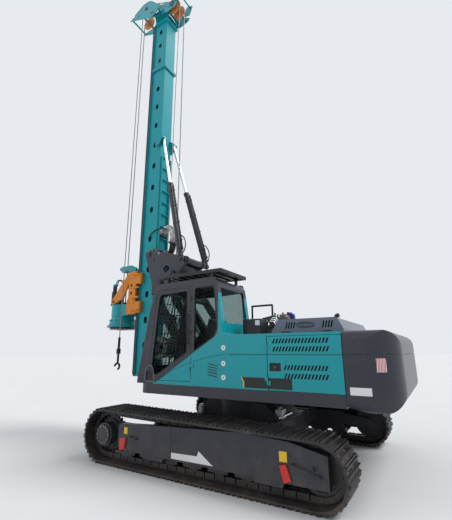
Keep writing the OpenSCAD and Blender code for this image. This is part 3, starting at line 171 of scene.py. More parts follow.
def make_road_dust():
    """Pale dust, thicker near the ground and on faces that look up."""
    tree, given, put = group(
        "road_dust", [("Vector", "Vector", None), ("Top", "Float", 1.4), ("Amount", "Float", 0.5)], [("Mask", "Float")])
    low = spread(tree, xyz(tree, given["Vector"])[2], given["Top"], 0.0)
    up = xyz(tree, face_normal(tree))[2]
    lying = times(tree, spread(tree, up, 0.5, 1.0), 0.55)
    cloud = spread(tree, noise(tree, given["Vector"], 3.2, 8, 0.68), 0.38, 0.72)
    speck = spread(tree, noise(tree, given["Vector"], 46, 3, 0.7), 0.45, 0.7)
    both = maths(tree, "MAXIMUM", low, lying)
    rough = plus(tree, times(tree, cloud, 0.75), times(tree, speck, 0.3))
    link(tree, times(tree, times(tree, both, rough), given["Amount"], clamp=True), put["Mask"])
    return tree


def make_scuffs():
    """Fine scratches and small chips that go through to the metal."""
    tree, given, put = group(
        "scuffs", [("Vector", "Vector", None), ("Amount", "Float", 0.5), ("Scale", "Float", 1.0)],
        [("Mask", "Float"), ("Lines", "Float")])
    values = {0: given["Vector"], "Scale": given["Scale"]}
    place = add(tree, "ShaderNodeVectorMath", values, operation="SCALE").outputs[0]
    values = {0: place, 1: noise(tree, place, 2.5, 2, out=1)}
    bent = add(tree, "ShaderNodeVectorMath", values, operation="ADD").outputs[0]
    lines = noise(tree, stretch(tree, bent, (4, 4, 95)), 1.2, 3, 0.5)
    thin = maths(tree, "COMPARE", lines, 0.5, 0.008)
    where = spread(tree, noise(tree, place, 1.7, 2), 0.52, 0.66)
    chip = spread(tree, noise(tree, place, 38, 4, 0.75), 0.70, 0.74)
    for mark, name in ((chip, "Mask"), (thin, "Lines")):
        link(tree, times(tree, times(tree, mark, where), given["Amount"], clamp=True), put[name])
    return tree


def make_cab_split():
    """The body colour lies below a rising line and behind the rear side window."""
    tree, given, put = group(
        "cab_split",
        [("Vector", "Vector", None), ("Height", "Float", 1.925), ("Slope", "Float", -0.594), ("Rear", "Float", -0.855),
         ("Round", "Float", 0.16)],
        [("Mask", "Float")])
    parts = xyz(tree, given["Vector"])
    start = plus(tree, given["Height"], times(tree, given["Slope"], -SLEW_X))
    line = maths(tree, "MULTIPLY_ADD", parts[0], given["Slope"], start)
    over = times(tree, minus(tree, parts[2], line), 0.86)
    ahead = minus(tree, parts[0], given["Rear"])
    inside = maths(tree, "SMOOTH_MIN", over, ahead, given["Round"])
    link(tree, spread(tree, inside, 0.0015, -0.0015), put["Mask"])
    return tree


def make_wire_lay():
    """Strands that wind round a vertical rope, with painted shade in the grooves between them."""
    tree, given, put = group("wire_lay", [("Vector", "Vector", None), ("Pitch", "Float", 60.0)],
                             [("Height", "Float"), ("Shade", "Float")])
    strands = wave(tree, given["Vector"], given["Pitch"], "DIAGONAL")
    link(tree, strands, put["Height"])
    link(tree, spread(tree, strands, 0.0, 1.0, 0.45, 1.0), put["Shade"])
    return tree


EFFECTS = {make.__name__[5:]: make()
           for make in (make_paint_film, make_road_dust, make_scuffs, make_cab_split, make_wire_lay)}


def effect(tree, name, **values):
    node = add(tree, "ShaderNodeGroup", node_tree=EFFECTS[name])
    feed(tree, node, values)
    return node.outputs


def rgb(r, g, b, a=1.0):
    """A colour given as it looks on a screen, 0 to 255."""
    shares = (c / 255 for c in (r, g, b))
    return tuple(c / 12.92 if c <= 0.04045 else ((c + 0.055) / 1.055) ** 2.4 for c in shares) + (a,)


TEAL = rgb(8, 150, 160)
DARK = rgb(50, 52, 62)
BLACK = rgb(30, 31, 34)
DUST = rgb(150, 138, 120)
METAL = rgb(150, 148, 144)
HOOD = rgb(104, 110, 126)
ORANGE = rgb(216, 128, 8)
RUST = rgb(88, 74, 62)
FINISHES = {}


def new_finish(name):
    material = bpy.data.materials.new(name)
    material.use_nodes = True
    FINISHES[name] = material
    tree = material.node_tree
    return tree, tree.nodes["Principled BSDF"], tree.nodes.new("ShaderNodeTexCoord").outputs["Object"]


def relief(tree, shader, strength, distance, height, **more):
    """Fine relief on the shader's normal."""
    values = {"Strength": strength, "Distance": distance, "Height": height, **more}
    link(tree, add(tree, "ShaderNodeBump", values).outputs[0], shader.inputs["Normal"])


def painted(name, paint, gloss=0.32, tone=0.14, dust=0.22, dust_top=1.4, wear=0.4, coat=0.12, split=None,
            edge=0.008, edge_wear_and_highlight=0.35):
    """A painted metal finish. split gives a second colour and a mask made from the place."""
    tree, shader, place = new_finish(name)
    colour = paint
    if split:
        other, mask = split(tree, place)
        colour = blend_colour(tree, mask, paint, other)
    film = effect(tree, "paint_film", Vector=place, Paint=colour, Tone=tone, Gloss=gloss)
    scuff = effect(tree, "scuffs", Vector=place, Amount=wear)
    dirt = effect(tree, "road_dust", Vector=place, Top=dust_top, Amount=dust)
    round_edge = add(tree, "ShaderNodeBevel", {"Radius": edge}, samples=4).outputs[0]
    values = {0: round_edge, 1: face_normal(tree)}
    facing = add(tree, "ShaderNodeVectorMath", values, operation="DOT_PRODUCT").outputs["Value"]
    # Edges turn paler in patches: partly worn paint, partly a painted highlight along the edges.
    patches = spread(tree, noise(tree, place, 9, 5, 0.7), 0.42, 0.6)
    rubbed_and_highlit = times(tree, spread(tree, facing, 0.985, 0.86), times(tree, patches, edge_wear_and_highlight))
    pale_highlight_paint = tuple(0.55 * c + 0.35 for c in paint[:3]) + (1.0,)
    rubbed_and_highlit_paint = blend_colour(tree, rubbed_and_highlit, film["Color"], pale_highlight_paint)
    chipped = blend_colour(tree, scuff["Mask"], rubbed_and_highlit_paint, METAL)
    lined = blend_colour(tree, times(tree, scuff["Lines"], 0.5), chipped, METAL)
    feed(tree, shader, {
        "Base Color": blend_colour(tree, dirt["Mask"], lined, DUST),
        "Roughness": plus(tree, film["Roughness"], times(tree, dirt["Mask"], 0.5), clamp=True),
        "Metallic": times(tree, scuff["Mask"], 0.8),
        "Coat Weight": coat,
        "Specular IOR Level": 0.3,
        "Coat Roughness": 0.12})
    relief(tree, shader, 0.12, 0.0008, film["Height"], Normal=round_edge)


def past(axis, edge, colour):
    """A second colour where the place lies past an edge along one axis."""
    def split(tree, place):
        return colour, spread(tree, xyz(tree, place)[axis], edge - 0.001, edge + 0.001)
    return split


def band(axis, low, high, colour):
    """A second colour between two places along one axis."""
    def split(tree, place):
        value = xyz(tree, place)[axis]
        return colour, times(tree, spread(tree, value, low, low + 0.002), spread(tree, value, high, high - 0.002))
    return split


def deeper(side, colour):
    """Painted shade inside a cover: a dark second colour behind its outer face and below its top."""
    def split(tree, place):
        parts = xyz(tree, place)
        inside = spread(tree, maths(tree, "ABSOLUTE", parts[1]), side - 0.004, side - 0.008)
        return colour, times(tree, inside, spread(tree, parts[2], 2.071, 2.069))
    return split


def cab_paint(tree, place):
    """Body colour on the cab's outer skin, and the dark colour inside it and on its roof."""
    outer = effect(tree, "cab_split", Vector=place)["Mask"]
    parts = xyz(tree, place)
    shell = maths(tree, "MAXIMUM", spread(tree, parts[1], 1.545, 1.547), spread(tree, parts[0], -0.855, -0.860))
    below_roof = spread(tree, parts[2], 3.046, 3.042)
    return TEAL, times(tree, times(tree, outer, shell), below_roof)


def bare_metal(name, colour, rough, streaks=(60, 60, 3), dust=0.15, worn=RUST):
    """Machined or rolled steel with fine lines and a little dust."""
    tree, shader, place = new_finish(name)
    lines = noise(tree, stretch(tree, place, streaks), 4, 4, 0.6)
    stain = spread(tree, noise(tree, place, 5.5, 6, 0.65), 0.42, 0.7)
    base = blend_colour(tree, times(tree, stain, 0.45), colour, worn)
    dirt = effect(tree, "road_dust", Vector=place, Top=1.2, Amount=dust)
    drawn = times(tree, minus(tree, lines, 0.5), 0.3)
    stained = plus(tree, rough, times(tree, stain, 0.2))
    feed(tree, shader, {
        "Base Color": blend_colour(tree, dirt["Mask"], base, DUST),
        "Roughness": plus(tree, drawn, stained, clamp=True),
        "Metallic": 1.0})
    relief(tree, shader, 0.15, 0.0006, lines)


def shoe_steel():
    """Track shoes: dark rolled steel with brown stain, dry mud and bright worn bars."""
    tree, shader, place = new_finish("shoe_steel")
    rust = spread(tree, noise(tree, place, 7, 7, 0.7), 0.4, 0.68)
    base = blend_colour(tree, rust, rgb(30, 29, 31), rgb(48, 39, 38))
    mud = effect(tree, "road_dust", Vector=place, Top=1.0, Amount=0.5)
    scrape = effect(tree, "scuffs", Vector=place, Amount=1.0, Scale=2.0)
    bright = maths(tree, "MAXIMUM", scrape["Mask"], scrape["Lines"])
    worn = blend_colour(tree, bright, base, rgb(128, 124, 120))
    feed(tree, shader, {
        "Base Color": blend_colour(tree, times(tree, mud["Mask"], 0.6), worn, rgb(120, 108, 96)),
        "Roughness": spread(tree, rust, 0, 1, 0.45, 0.8),
        "Metallic": times(tree, scrape["Mask"], 0.8)})
    relief(tree, shader, 0.4, 0.003, noise(tree, place, 60, 6, 0.7))


def window_glass():
    """Tinted cab glass with a film of dust."""
    tree, shader, place = new_finish("window_glass")
    film = spread(tree, noise(tree, place, 2.2, 6, 0.6), 0.4, 0.75)
    feed(tree, shader, {
        "Roughness": spread(tree, film, 0, 1, 0.03, 0.12),
        "Base Color": rgb(176, 190, 188),
        "Transmission Weight": 1.0,
        "IOR": 1.1})


def seat_cloth():
    """Woven grey cloth on the driver's seat."""
    tree, shader, place = new_finish("seat_cloth")
    weave = wave(tree, place, 160.0, "DIAGONAL", 1.5)
    feed(tree, shader, {
        "Base Color": blend_colour(tree, weave, rgb(34, 35, 38), rgb(58, 60, 64)),
        "Roughness": 0.85,
        "Sheen Weight": 0.3})
    relief(tree, shader, 0.4, 0.001, weave)


def rope_wire():
    """Steel wire rope, darker with painted shade between its strands."""
    tree, shader, place = new_finish("rope_wire")
    lay = effect(tree, "wire_lay", Vector=place, Pitch=22.0)
    feed(tree, shader, {
        "Base Color": blend_colour(tree, lay["Shade"], rgb(70, 72, 74), rgb(150, 152, 155)),
        "Roughness": spread(tree, noise(tree, place, 14, 4), 0.3, 0.7, 0.3, 0.55),
        "Metallic": 0.85})
    relief(tree, shader, 0.8, 0.003, lay["Height"])


def rubber():
    """Seals and hoses: matt black with a grey bloom."""
    tree, shader, place = new_finish("rubber")
    bloom = spread(tree, noise(tree, place, 12, 5, 0.6), 0.4, 0.75)
    feed(tree, shader, {
        "Base Color": blend_colour(tree, bloom, rgb(24, 24, 26), rgb(52, 52, 54)),
        "Roughness": spread(tree, bloom, 0, 1, 0.5, 0.8)})
    relief(tree, shader, 0.2, 0.001, noise(tree, place, 180, 2))


def pale_sleeve():
    """Pale textile sleeves round the mast's hoses."""
    tree, shader, place = new_finish("pale_sleeve")
    stain = spread(tree, noise(tree, place, 12, 5, 0.6), 0.35, 0.7)
    feed(tree, shader, {
        "Base Color": blend_colour(tree, stain, rgb(206, 204, 198), rgb(140, 138, 134)),
        "Roughness": 0.55})


def lamp_lens():
    """Ribbed clear lamp glass."""
    tree, shader, place = new_finish("lamp_lens")
    ribs = wave(tree, place, 30.0, "Z")
    feed(tree, shader, {
        "Base Color": blend_colour(tree, ribs, rgb(214, 220, 224), rgb(240, 242, 244)),
        "Roughness": 0.12})
    relief(tree, shader, 0.3, 0.002, ribs)


def striped(tree, place):
    """Slanting stripes across a plate."""
    parts = xyz(tree, place)
    slant = plus(tree, plus(tree, parts[0], parts[1]), times(tree, parts[2], 0.12))
    stripe = maths(tree, "FRACT", times(tree, slant, 40.0))
    return rgb(190, 52, 70), spread(tree, stripe, 0.49, 0.51)


# Finishes
painted("teal_paint", TEAL)
painted("mast_paint", TEAL, gloss=0.5, coat=0.0, dust=0.12, wear=0.5, split=past(0, 2.328, rgb(44, 50, 58)))
# The louvres' pockets get painted shade.
painted("louvre_paint_and_shade", TEAL, split=deeper(1.547, rgb(16, 20, 22)))
painted("cab_paint", DARK, gloss=0.26, split=cab_paint)
painted("dark_paint", DARK, gloss=0.36, dust=0.3)
painted("frame_paint", rgb(44, 46, 57), gloss=0.42, dust=0.3, dust_top=1.0, wear=0.7)
painted("hood_paint", HOOD, gloss=0.34, dust=0.4)
painted("black_paint", BLACK, gloss=0.4, dust=0.2)
painted("head_paint", TEAL, split=band(2, 3.035, 3.50, rgb(22, 34, 36)))
painted("orange_paint", ORANGE, gloss=0.36, dust=0.2, wear=0.7)
painted("sheave_paint", rgb(208, 132, 62), gloss=0.45, wear=1.0)
painted("cast_paint", rgb(120, 122, 120), gloss=0.6)
bare_metal("bare_steel", rgb(140, 138, 134), 0.38)
bare_metal("chrome_rod", rgb(226, 228, 232), 0.1, (90, 90, 6), 0.04, rgb(190, 190, 192))
shoe_steel()
window_glass()
seat_cloth()
rope_wire()
painted("white_plate", rgb(226, 228, 230), gloss=0.4, tone=0.06, dust=0.25, wear=0.3, edge_wear_and_highlight=0.0)
painted("yellow_plate", rgb(232, 190, 40), gloss=0.4, tone=0.06, wear=0.3, edge_wear_and_highlight=0.0)
painted("red_paint", rgb(206, 42, 32), gloss=0.36, tone=0.1, wear=0.5)
painted("blue_paint", rgb(52, 70, 168), gloss=0.36, tone=0.1, wear=0.3)
rubber()
pale_sleeve()
lamp_lens()
painted("stripe_plate", rgb(232, 226, 228), gloss=0.3, tone=0.05, wear=0.2, edge_wear_and_highlight=0.0, split=striped)

DRESS = {
    "teal_paint": "side_cover_left tank_housing mast_head",
    "head_paint": "power_head",
    "louvre_paint_and_shade": "louvre_door_left side_cover_right",
    "mast_paint": "mast",
    "cab_paint": "cab_shell cab_door",
    "dark_paint": "upper_frame counterweight luffing_arm parallel_link luffing_barrels mast_carrier mast_barrel_left "
                  "mast_barrel_right winch_frame crowd_barrel drive_spindle",
    "frame_paint": "car_body track_frame_left track_frame_right running_gear_left running_gear_right",
    "hood_paint": "engine_hood",
    "black_paint": "guard_rails rope_hook",
    "orange_paint": "carriage",
    "sheave_paint": "main_sheave_front aux_sheave_front rear_sheaves",
    "cast_paint": "engine_block",
    "bare_steel": "slew_ring main_drum aux_drum",
    "chrome_rod": "luffing_rods mast_rod_left mast_rod_right crowd_rod",
    "shoe_steel": "track_left track_right",
    "window_glass": "cab_glass door_glass",
    "seat_cloth": "cab_seat",
    "rope_wire": "ropes",
}


def dress_nodes():
    for finish, names in DRESS.items():
        for name in names.split():
            for place in nodes[name].material_slots:
                place.material = FINISHES[finish]


dress_nodes()


# Forms
def turns(count, start=0.0):
    """Equal steps round a full turn."""
    return [start + 2 * math.pi * k / count for k in range(count)]


def box(form, low, high):
    """A block between two corners, measured from the slewing axis."""
    low, high = Vector(low), Vector(high)
    middle, size = (low + high) / 2, high - low
    for v in bmesh.ops.create_cube(form, size=1.0)["verts"]:
        v.co = at(*(middle[i] + v.co[i] * size[i] for i in range(3)))


def prism(form, outline, y0, y1):
    """A flat outline in X and Z between two places along Y."""
    rings = [[form.verts.new(at(x, y, z)) for x, z in outline] for y in (y0, y1)]
    faces = [form.faces.new(rings[0]), form.faces.new(rings[1])]
    for i in range(len(outline)):
        j = (i + 1) % len(outline)
        faces.append(form.faces.new((rings[0][i], rings[0][j], rings[1][j], rings[1][i])))
    bmesh.ops.recalc_face_normals(form, faces=faces)


def plan_prism(form, outline, z0, z1):
    """A plan outline raised between two heights."""
    low = [form.verts.new(at(x, y, z0)) for x, y in outline]
    high = [form.verts.new(at(x, y, z1)) for x, y in outline]
    form.faces.new(low[::-1])
    form.faces.new(high)
    for k in range(len(outline)):
        form.faces.new((low[k - 1], low[k], high[k], high[k - 1]))


def round_bar(form, a, b, r, sides=20, r_end=None):
    """A round bar between two places, measured from the slewing axis."""
    a, b = at(*a), at(*b)
    way = b - a
    turn = way.to_track_quat("Z", "Y").to_matrix().to_4x4()
    made = bmesh.ops.create_cone(form, cap_ends=True, segments=sides, radius1=r, radius2=r if r_end is None else r_end,
                                 depth=way.length)["verts"]
    bmesh.ops.transform(form, matrix=Matrix.Translation((a + b) / 2) @ turn, verts=made)


def rect(x0, z0, x1, z1):
    return [(x0, z0), (x1, z0), (x1, z1), (x0, z1)]


def rounded(outline, r, steps=5):
    """An outline in X and Z with its corners rounded."""
    found = []
    for i, corner in enumerate(outline):
        a, b, c = Vector(outline[i - 1]), Vector(corner), Vector(outline[(i + 1) % len(outline)])
        one, two = a - b, c - b
        cut = min(r, one.length * 0.45, two.length * 0.45)
        start, end = b + one.normalized() * cut, b + two.normalized() * cut
        for t in (k / steps for k in range(steps + 1)):
            found.append(tuple(start.lerp(b, t).lerp(b.lerp(end, t), t)))
    return found


def smooth_path(points, steps):
    """A smooth line through points, measured from the slewing axis."""
    p = [at(*q) for q in points]
    p = [p[0] * 2 - p[1]] + p + [p[-1] * 2 - p[-2]]
    line = []
    for i in range(1, len(p) - 2):
        for t in (k / steps for k in range(steps)):
            line.append(0.5 * (2 * p[i] + (p[i + 1] - p[i - 1]) * t
                               + (2 * p[i - 1] - 5 * p[i] + 4 * p[i + 1] - p[i + 2]) * t * t
                               + (3 * p[i] - p[i - 1] - 3 * p[i + 1] + p[i + 2]) * t ** 3))
    return line + [p[-2]]


def tube(form, line, r, sides=10, closed=False):
    """A round tube along a line of places, with its ends closed or joined."""
    last = len(line) - 1
    ahead = []
    for i in range(last + 1):
        if closed:
            ahead.append(line[(i + 1) % (last + 1)] - line[i - 1])
        else:
            ahead.append(line[min(i + 1, last)] - line[max(i - 1, 0)])
    side = Vector((0, 0, 1)).cross(ahead[0])
    side = side.normalized() if side.length > 1e-6 else Vector((1, 0, 0))
    rings = []
    for point, way in zip(line, ahead):
        way = way.normalized()
        side = (side - way * side.dot(way)).normalized()
        up = way.cross(side)
        rings.append([form.verts.new(point + r * (math.cos(a) * side + math.sin(a) * up)) for a in turns(sides)])
    pairs = list(zip(rings, rings[1:])) + ([(rings[-1], rings[0])] if closed else [])
    for one, two in pairs:
        for k in range(sides):
            form.faces.new((one[k], one[(k + 1) % sides], two[(k + 1) % sides], two[k]))
    if not closed:
        form.faces.new(rings[0][::-1])
        form.faces.new(rings[-1])


def hose(form, points, r, sides=10, steps=5):
    """A tube that runs smoothly through a few places."""
    tube(form, smooth_path(points, steps), r, sides)


def outline_tube(form, outline, y, r, sides=8):
    """A closed tube along an outline in X and Z."""
    tube(form, [at(x, y, z) for x, z in outline], r, sides, closed=True)


def piece(name, body, finish, build, bevel=0.0, smooth=False):
    """A finished piece: built, given its finish and set on its body."""
    form = bmesh.new()
    build(form)
    bmesh.ops.recalc_face_normals(form, faces=form.faces)
    mesh = bpy.data.meshes.new(name)
    form.to_mesh(mesh)
    form.free()
    made = bpy.data.objects.new(name, mesh)
    made.data.materials.append(FINISHES[finish])
    scene.collection.objects.link(made)
    for face in mesh.polygons:
        face.use_smooth = smooth
    if smooth:
        mesh.set_sharp_from_angle(angle=math.radians(38))
    if bevel:
        round_off = made.modifiers.new("edge", "BEVEL")
        round_off.width = bevel
        round_off.segments = 2
        round_off.limit_method = "ANGLE"
    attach(made, body)


# Repeated fasteners
def make_fastener_tree():
    """Heads with a washer, one on each point, standing along the point's own outward direction."""
    tree = bpy.data.node_groups.new("fasteners", "GeometryNodeTree")
    for label, kind, value in (("Places", "Geometry", None), ("Head Radius", "Float", 0.015),
                               ("Head Height", "Float", 0.012), ("Sides", "Int", 6), ("Finish", "Material", None)):
        socket = tree.interface.new_socket(label, in_out="INPUT", socket_type="NodeSocket" + kind)
        if value is not None:
            socket.default_value = value
    tree.interface.new_socket("Geometry", in_out="OUTPUT", socket_type="NodeSocketGeometry")
    given = tree.nodes.new("NodeGroupInput").outputs
    put = tree.nodes.new("NodeGroupOutput").inputs
    outward = add(tree, "GeometryNodeInputNamedAttribute", {"Name": "outward"}, data_type="FLOAT_VECTOR")
    turn = add(tree, "FunctionNodeAlignRotationToVector", {"Vector": outward.outputs["Attribute"]}, axis="Z").outputs[0]
    head = add(tree, "GeometryNodeMeshCylinder",
               {"Vertices": given["Sides"], "Radius": given["Head Radius"], "Depth": given["Head Height"]})
    lift = add(tree, "ShaderNodeCombineXYZ", {2: times(tree, given["Head Height"], 0.62)}).outputs[0]
    raised = add(tree, "GeometryNodeTransform", {"Geometry": head.outputs["Mesh"], "Translation": lift})
    washer = add(tree, "GeometryNodeMeshCylinder", {"Vertices": 12, "Radius": times(tree, given["Head Radius"], 1.35),
                                                    "Depth": times(tree, given["Head Height"], 0.3)})
    both = tree.nodes.new("GeometryNodeJoinGeometry")
    link(tree, raised.outputs[0], both.inputs[0])
    link(tree, washer.outputs["Mesh"], both.inputs[0])
    placed = add(tree, "GeometryNodeInstanceOnPoints",
                 {"Points": given["Places"], "Instance": both.outputs[0], "Rotation": turn})
    real = add(tree, "GeometryNodeRealizeInstances", {0: placed.outputs[0]})
    done = add(tree, "GeometryNodeSetMaterial", {"Geometry": real.outputs[0], "Material": given["Finish"]})
    link(tree, done.outputs[0], put[0])
    return tree


FASTENERS = make_fastener_tree()


def fasteners(name, body, spots, r=0.014, h=0.011, finish="bare_steel", sides=6):
    """One plain mesh of fasteners, from places and their outward directions."""
    mesh = bpy.data.meshes.new(name + "_places")
    mesh.from_pydata([at(*place) for place, way in spots], [], [])
    attribute = mesh.attributes.new("outward", "FLOAT_VECTOR", "POINT")
    attribute.data.foreach_set("vector", [c for place, way in spots for c in way])
    maker = bpy.data.objects.new(name + "_places", mesh)
    scene.collection.objects.link(maker)
    modifier = maker.modifiers.new("make", "NODES")
    modifier.node_group = FASTENERS
    sockets = {item.name: item.identifier for item in FASTENERS.interface.items_tree if item.in_out == "INPUT"}
    inputs = {"Head Radius": r, "Head Height": h, "Sides": sides, "Finish": FINISHES[finish]}
    for label, value in inputs.items():
        modifier[sockets[label]] = value
    view = bpy.context.evaluated_depsgraph_get()
    plain = bpy.data.meshes.new_from_object(maker.evaluated_get(view))
    bpy.data.objects.remove(maker)
    made = bpy.data.objects.new(name, plain)
    plain.name = name
    scene.collection.objects.link(made)
    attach(made, body)


def ring_of(centre, r, count, axis, start=0.0):
    """Places round a circle that faces along Y or Z."""
    found = []
    for a in turns(count, start):
        u, v = r * math.cos(a), r * math.sin(a)
        found.append(Vector(centre) + Vector((u, 0, v) if axis == "Y" else (u, v, 0)))
    return found


LEFT, RIGHT, UP, FRONT, DOWN = (0, 1, 0), (0, -1, 0), (0, 0, 1), (1, 0, 0), (0, 0, -1)
BOTH_SIDES = ((1, LEFT), (-1, RIGHT))


# Side covers and their plates. SIDE is the outer face of cab and covers
SIDE = 1.547
COVER_TOP = 2.073
COVER_X = (-1.125, -0.476)
DOOR_X = (-2.212, -1.137)
RIGHT_X = (-2.212, -0.605)
CREASE_Z = (1.762, 1.770)
LIP_Z = (1.771, 1.789)


def crease(side, ends):
    """The dark line along a cover's crease."""
    def build(form):
        outline = rect(ends[0], CREASE_Z[0], ends[1], CREASE_Z[1])
        prism(form, outline, side * SIDE, side * (SIDE + 0.0015))
    return build


def on_skin(rise, *outlines):
    """Flat shapes laid on the left side's outer face."""
    def build(form):
        for outline in outlines:
            prism(form, outline, SIDE - 0.001, SIDE + rise)
    return build


def lip(ends):
    return on_skin(0.005, rect(ends[0], LIP_Z[0], ends[1], LIP_Z[1]))


piece("crease_shadow_left", "upper", "rubber", crease(1, COVER_X))
piece("crease_shadow_door", "louvre_door", "rubber", crease(1, DOOR_X))
piece("crease_shadow_right", "upper", "rubber", crease(-1, RIGHT_X))
piece("crease_lip_left", "upper", "teal_paint", lip(COVER_X), bevel=0.003)
piece("crease_lip_door", "louvre_door", "teal_paint", lip(DOOR_X), bevel=0.003)

FRONT_PLATE = [(-0.735, 1.290), (-1.130, 1.290), (-1.130, 1.440), (-0.695, 1.440)]
REAR_PLATE = [(-1.1335, 1.290), (-1.500, 1.290), (-1.500, 1.440), (-1.1335, 1.440)]
PLATE_EDGE = [(-0.685, 1.440), (-0.700, 1.440), (-0.742, 1.368), (-0.740, 1.290), (-0.722, 1.290), (-0.722, 1.365)]
piece("side_plate", "upper", "black_paint", on_skin(0.002, FRONT_PLATE))
piece("side_plate_rear", "louvre_door", "black_paint", on_skin(0.002, REAR_PLATE))
piece("side_plate_edge", "upper", "yellow_plate", on_skin(0.0025, PLATE_EDGE))


def service_points(start, end, r, sides):
    """Round marks, one above another, behind the cab."""
    def build(form):
        for z in (1.87, 1.63, 1.42):
            round_bar(form, (-0.372, SIDE + start, z), (-0.372, SIDE + end, z), r, sides)
    return build


piece("service_discs", "upper", "white_plate", service_points(-0.002, 0.004, 0.040, 32), bevel=0.0015)
piece("service_caps", "upper", "black_paint", service_points(0, 0.007, 0.011, 20), bevel=0.001)

# The dark slots on the cab's side are painted shade in its vent openings.
VENTS = [[(-0.255, z), (-0.075, z + 0.030), (-0.075, z + 0.046), (-0.255, z + 0.016)]
         for z in (1.415 + i * 0.043 for i in range(5))]
piece("cab_vent_slots", "upper", "rubber", on_skin(0.0015, *VENTS))


# Window seals and trims of the cab
DOOR_WINDOW = [(1.150, 1.560), (1.030, 2.780), (0.985, 2.840), (0.380, 2.860), (0.360, 1.800), (1.010, 1.420),
               (1.110, 1.420)]
REAR_WINDOW = [(0.215, 2.890), (-0.150, 2.905), (-0.190, 2.860), (-0.250, 2.200), (-0.200, 2.060), (0.215, 1.815)]
# The door's raised inner frame follows its window at a hand's width
DOOR_RIDGE = [(1.215, 1.500), (1.095, 2.820), (1.010, 2.895), (0.325, 2.912), (0.310, 1.745), (1.000, 1.330),
              (1.180, 1.330)]
DOOR_CORNER = [(1.30, 1.30), (1.29, 1.50), (1.20, 1.585), (1.12, 1.55), (1.07, 1.36), (1.07, 1.30)]


def side_rim(outline, corner, sink, r):
    """A bead along an outline with rounded corners, sunk a little into the left side."""
    return lambda form: outline_tube(form, rounded(outline, corner), SIDE - sink, r)


piece("door_window_seal", "cab_door", "rubber", side_rim(DOOR_WINDOW, 0.05, 0.004, 0.010), smooth=True)
piece("rear_window_seal", "upper", "rubber", side_rim(REAR_WINDOW, 0.04, 0.004, 0.010), smooth=True)
piece("door_frame_ridge", "cab_door", "black_paint", side_rim(DOOR_RIDGE, 0.07, 0.002, 0.008), smooth=True)


def door_handle(form):
    x = 0.335
    hose(form, [(x, SIDE, 1.95), (x, SIDE + 0.025, 1.96), (x, SIDE + 0.030, 2.10), (x, SIDE + 0.030, 2.28),
                (x, SIDE + 0.025, 2.42), (x, SIDE, 2.43)], 0.010)


piece("door_grab_handle", "cab_door", "black_paint", door_handle, smooth=True)
piece("door_corner_rim", "cab_door", "hood_paint", side_rim(DOOR_CORNER, 0.06, 0.001, 0.009), smooth=True)


def roof_beads(form):
    for y in (SIDE - 0.012, SIDE - 0.988):
        hose(form, [(1.125, y, 2.955), (1.085, y, 2.998), (1.02, y, 3.027), (0.4, y, 3.036), (-0.13, y, 3.045),
                    (-0.215, y, 3.005)], 0.013, steps=4)


piece("roof_edge_bead", "upper", "dark_paint", roof_beads, smooth=True)


def wiper(form):
    y = SIDE - 0.5
    hose(form, [(1.385, y, 1.90), (1.375, y - 0.12, 2.2), (1.330, y - 0.2, 2.5)], 0.008, 8)
    hose(form, [(1.385, y - 0.18, 2.1), (1.335, y - 0.2, 2.48), (1.262, y - 0.2, 2.78)], 0.010, 6, 4)
    round_bar(form, (1.375, y, 1.90), (1.415, y, 1.91), 0.028)


piece("wiper", "upper", "black_paint", wiper, smooth=True)


# Track frames. PANEL is their outer face, TRACK_Y the middle of a track
PANEL = 1.915
TRACK_Y = 1.675
ROLLER_COUNT, ROLLER_SPAN = 7, 2.66
WEDGES = {"front": [(1.405, 0.433), (1.275, 0.458), (1.300, 0.275), (1.411, 0.250)],
          "rear": [(-1.426, 0.446), (-1.513, 0.465), (-1.575, 0.291), (-1.477, 0.252)]}
LABELS = {"front": rect(1.265, 0.504, 1.345, 0.604), "rear": rect(-1.523, 0.484, -1.419, 0.604)}
ARROW = [(0.325, 0.274), (0.325, 0.354), (-0.150, 0.368), (-0.178, 0.437), (-0.425, 0.280)]


def side_name(side):
    return "left" if side > 0 else "right"


def track_body(side):
    return f"track_side_{side_name(side)}"


def frame_fasteners(side, way):
    """Bolts of the wheel's hub, the frame's panel and the bottom rollers."""
    hub = ring_of((1.855, side * PANEL, 0.435), 0.135, 12, "Y")
    fasteners(f"hub_bolts_{side_name(side)}", track_body(side), [(p, way) for p in hub], r=0.013, h=0.012)
    panel = [((x, side * PANEL, z), way) for x in (-1.99, -1.55, 1.40) for z in (0.35, 0.56)]
    fasteners(f"frame_bolts_{side_name(side)}", track_body(side), panel, r=0.016, h=0.013, finish="frame_paint")
    middles = [ROLLER_SPAN * (i / (ROLLER_COUNT - 1) - 0.5) for i in range(ROLLER_COUNT)]
    rollers = [((x + d, side * 1.825, 0.27), way) for x in middles for d in (-0.055, 0.055)]
    fasteners(f"roller_bolts_{side_name(side)}", track_body(side), rollers, r=0.013, h=0.012)


for side, way in BOTH_SIDES:
    frame_fasteners(side, way)


def on_panel(side, outline, rise, sink=0.001):
    """A flat shape laid on a track frame's outer face."""
    return lambda form: prism(form, outline, side * (PANEL - sink), side * (PANEL + rise))


def grab_bars(side):
    def build(form):
        y0, y1 = side * (PANEL - 0.002), side * (PANEL + 0.045)
        for (x0, z0), (x1, z1) in (((-1.60, 0.470), (-1.93, 0.385)), ((1.19, 0.475), (1.04, 0.455))):
            hose(form, [(x0, y0, z0), (x0 - 0.01, y1, z0 - 0.003), (x1 + 0.01, y1, z1 + 0.003), (x1, y0, z1)], 0.012)
    return build


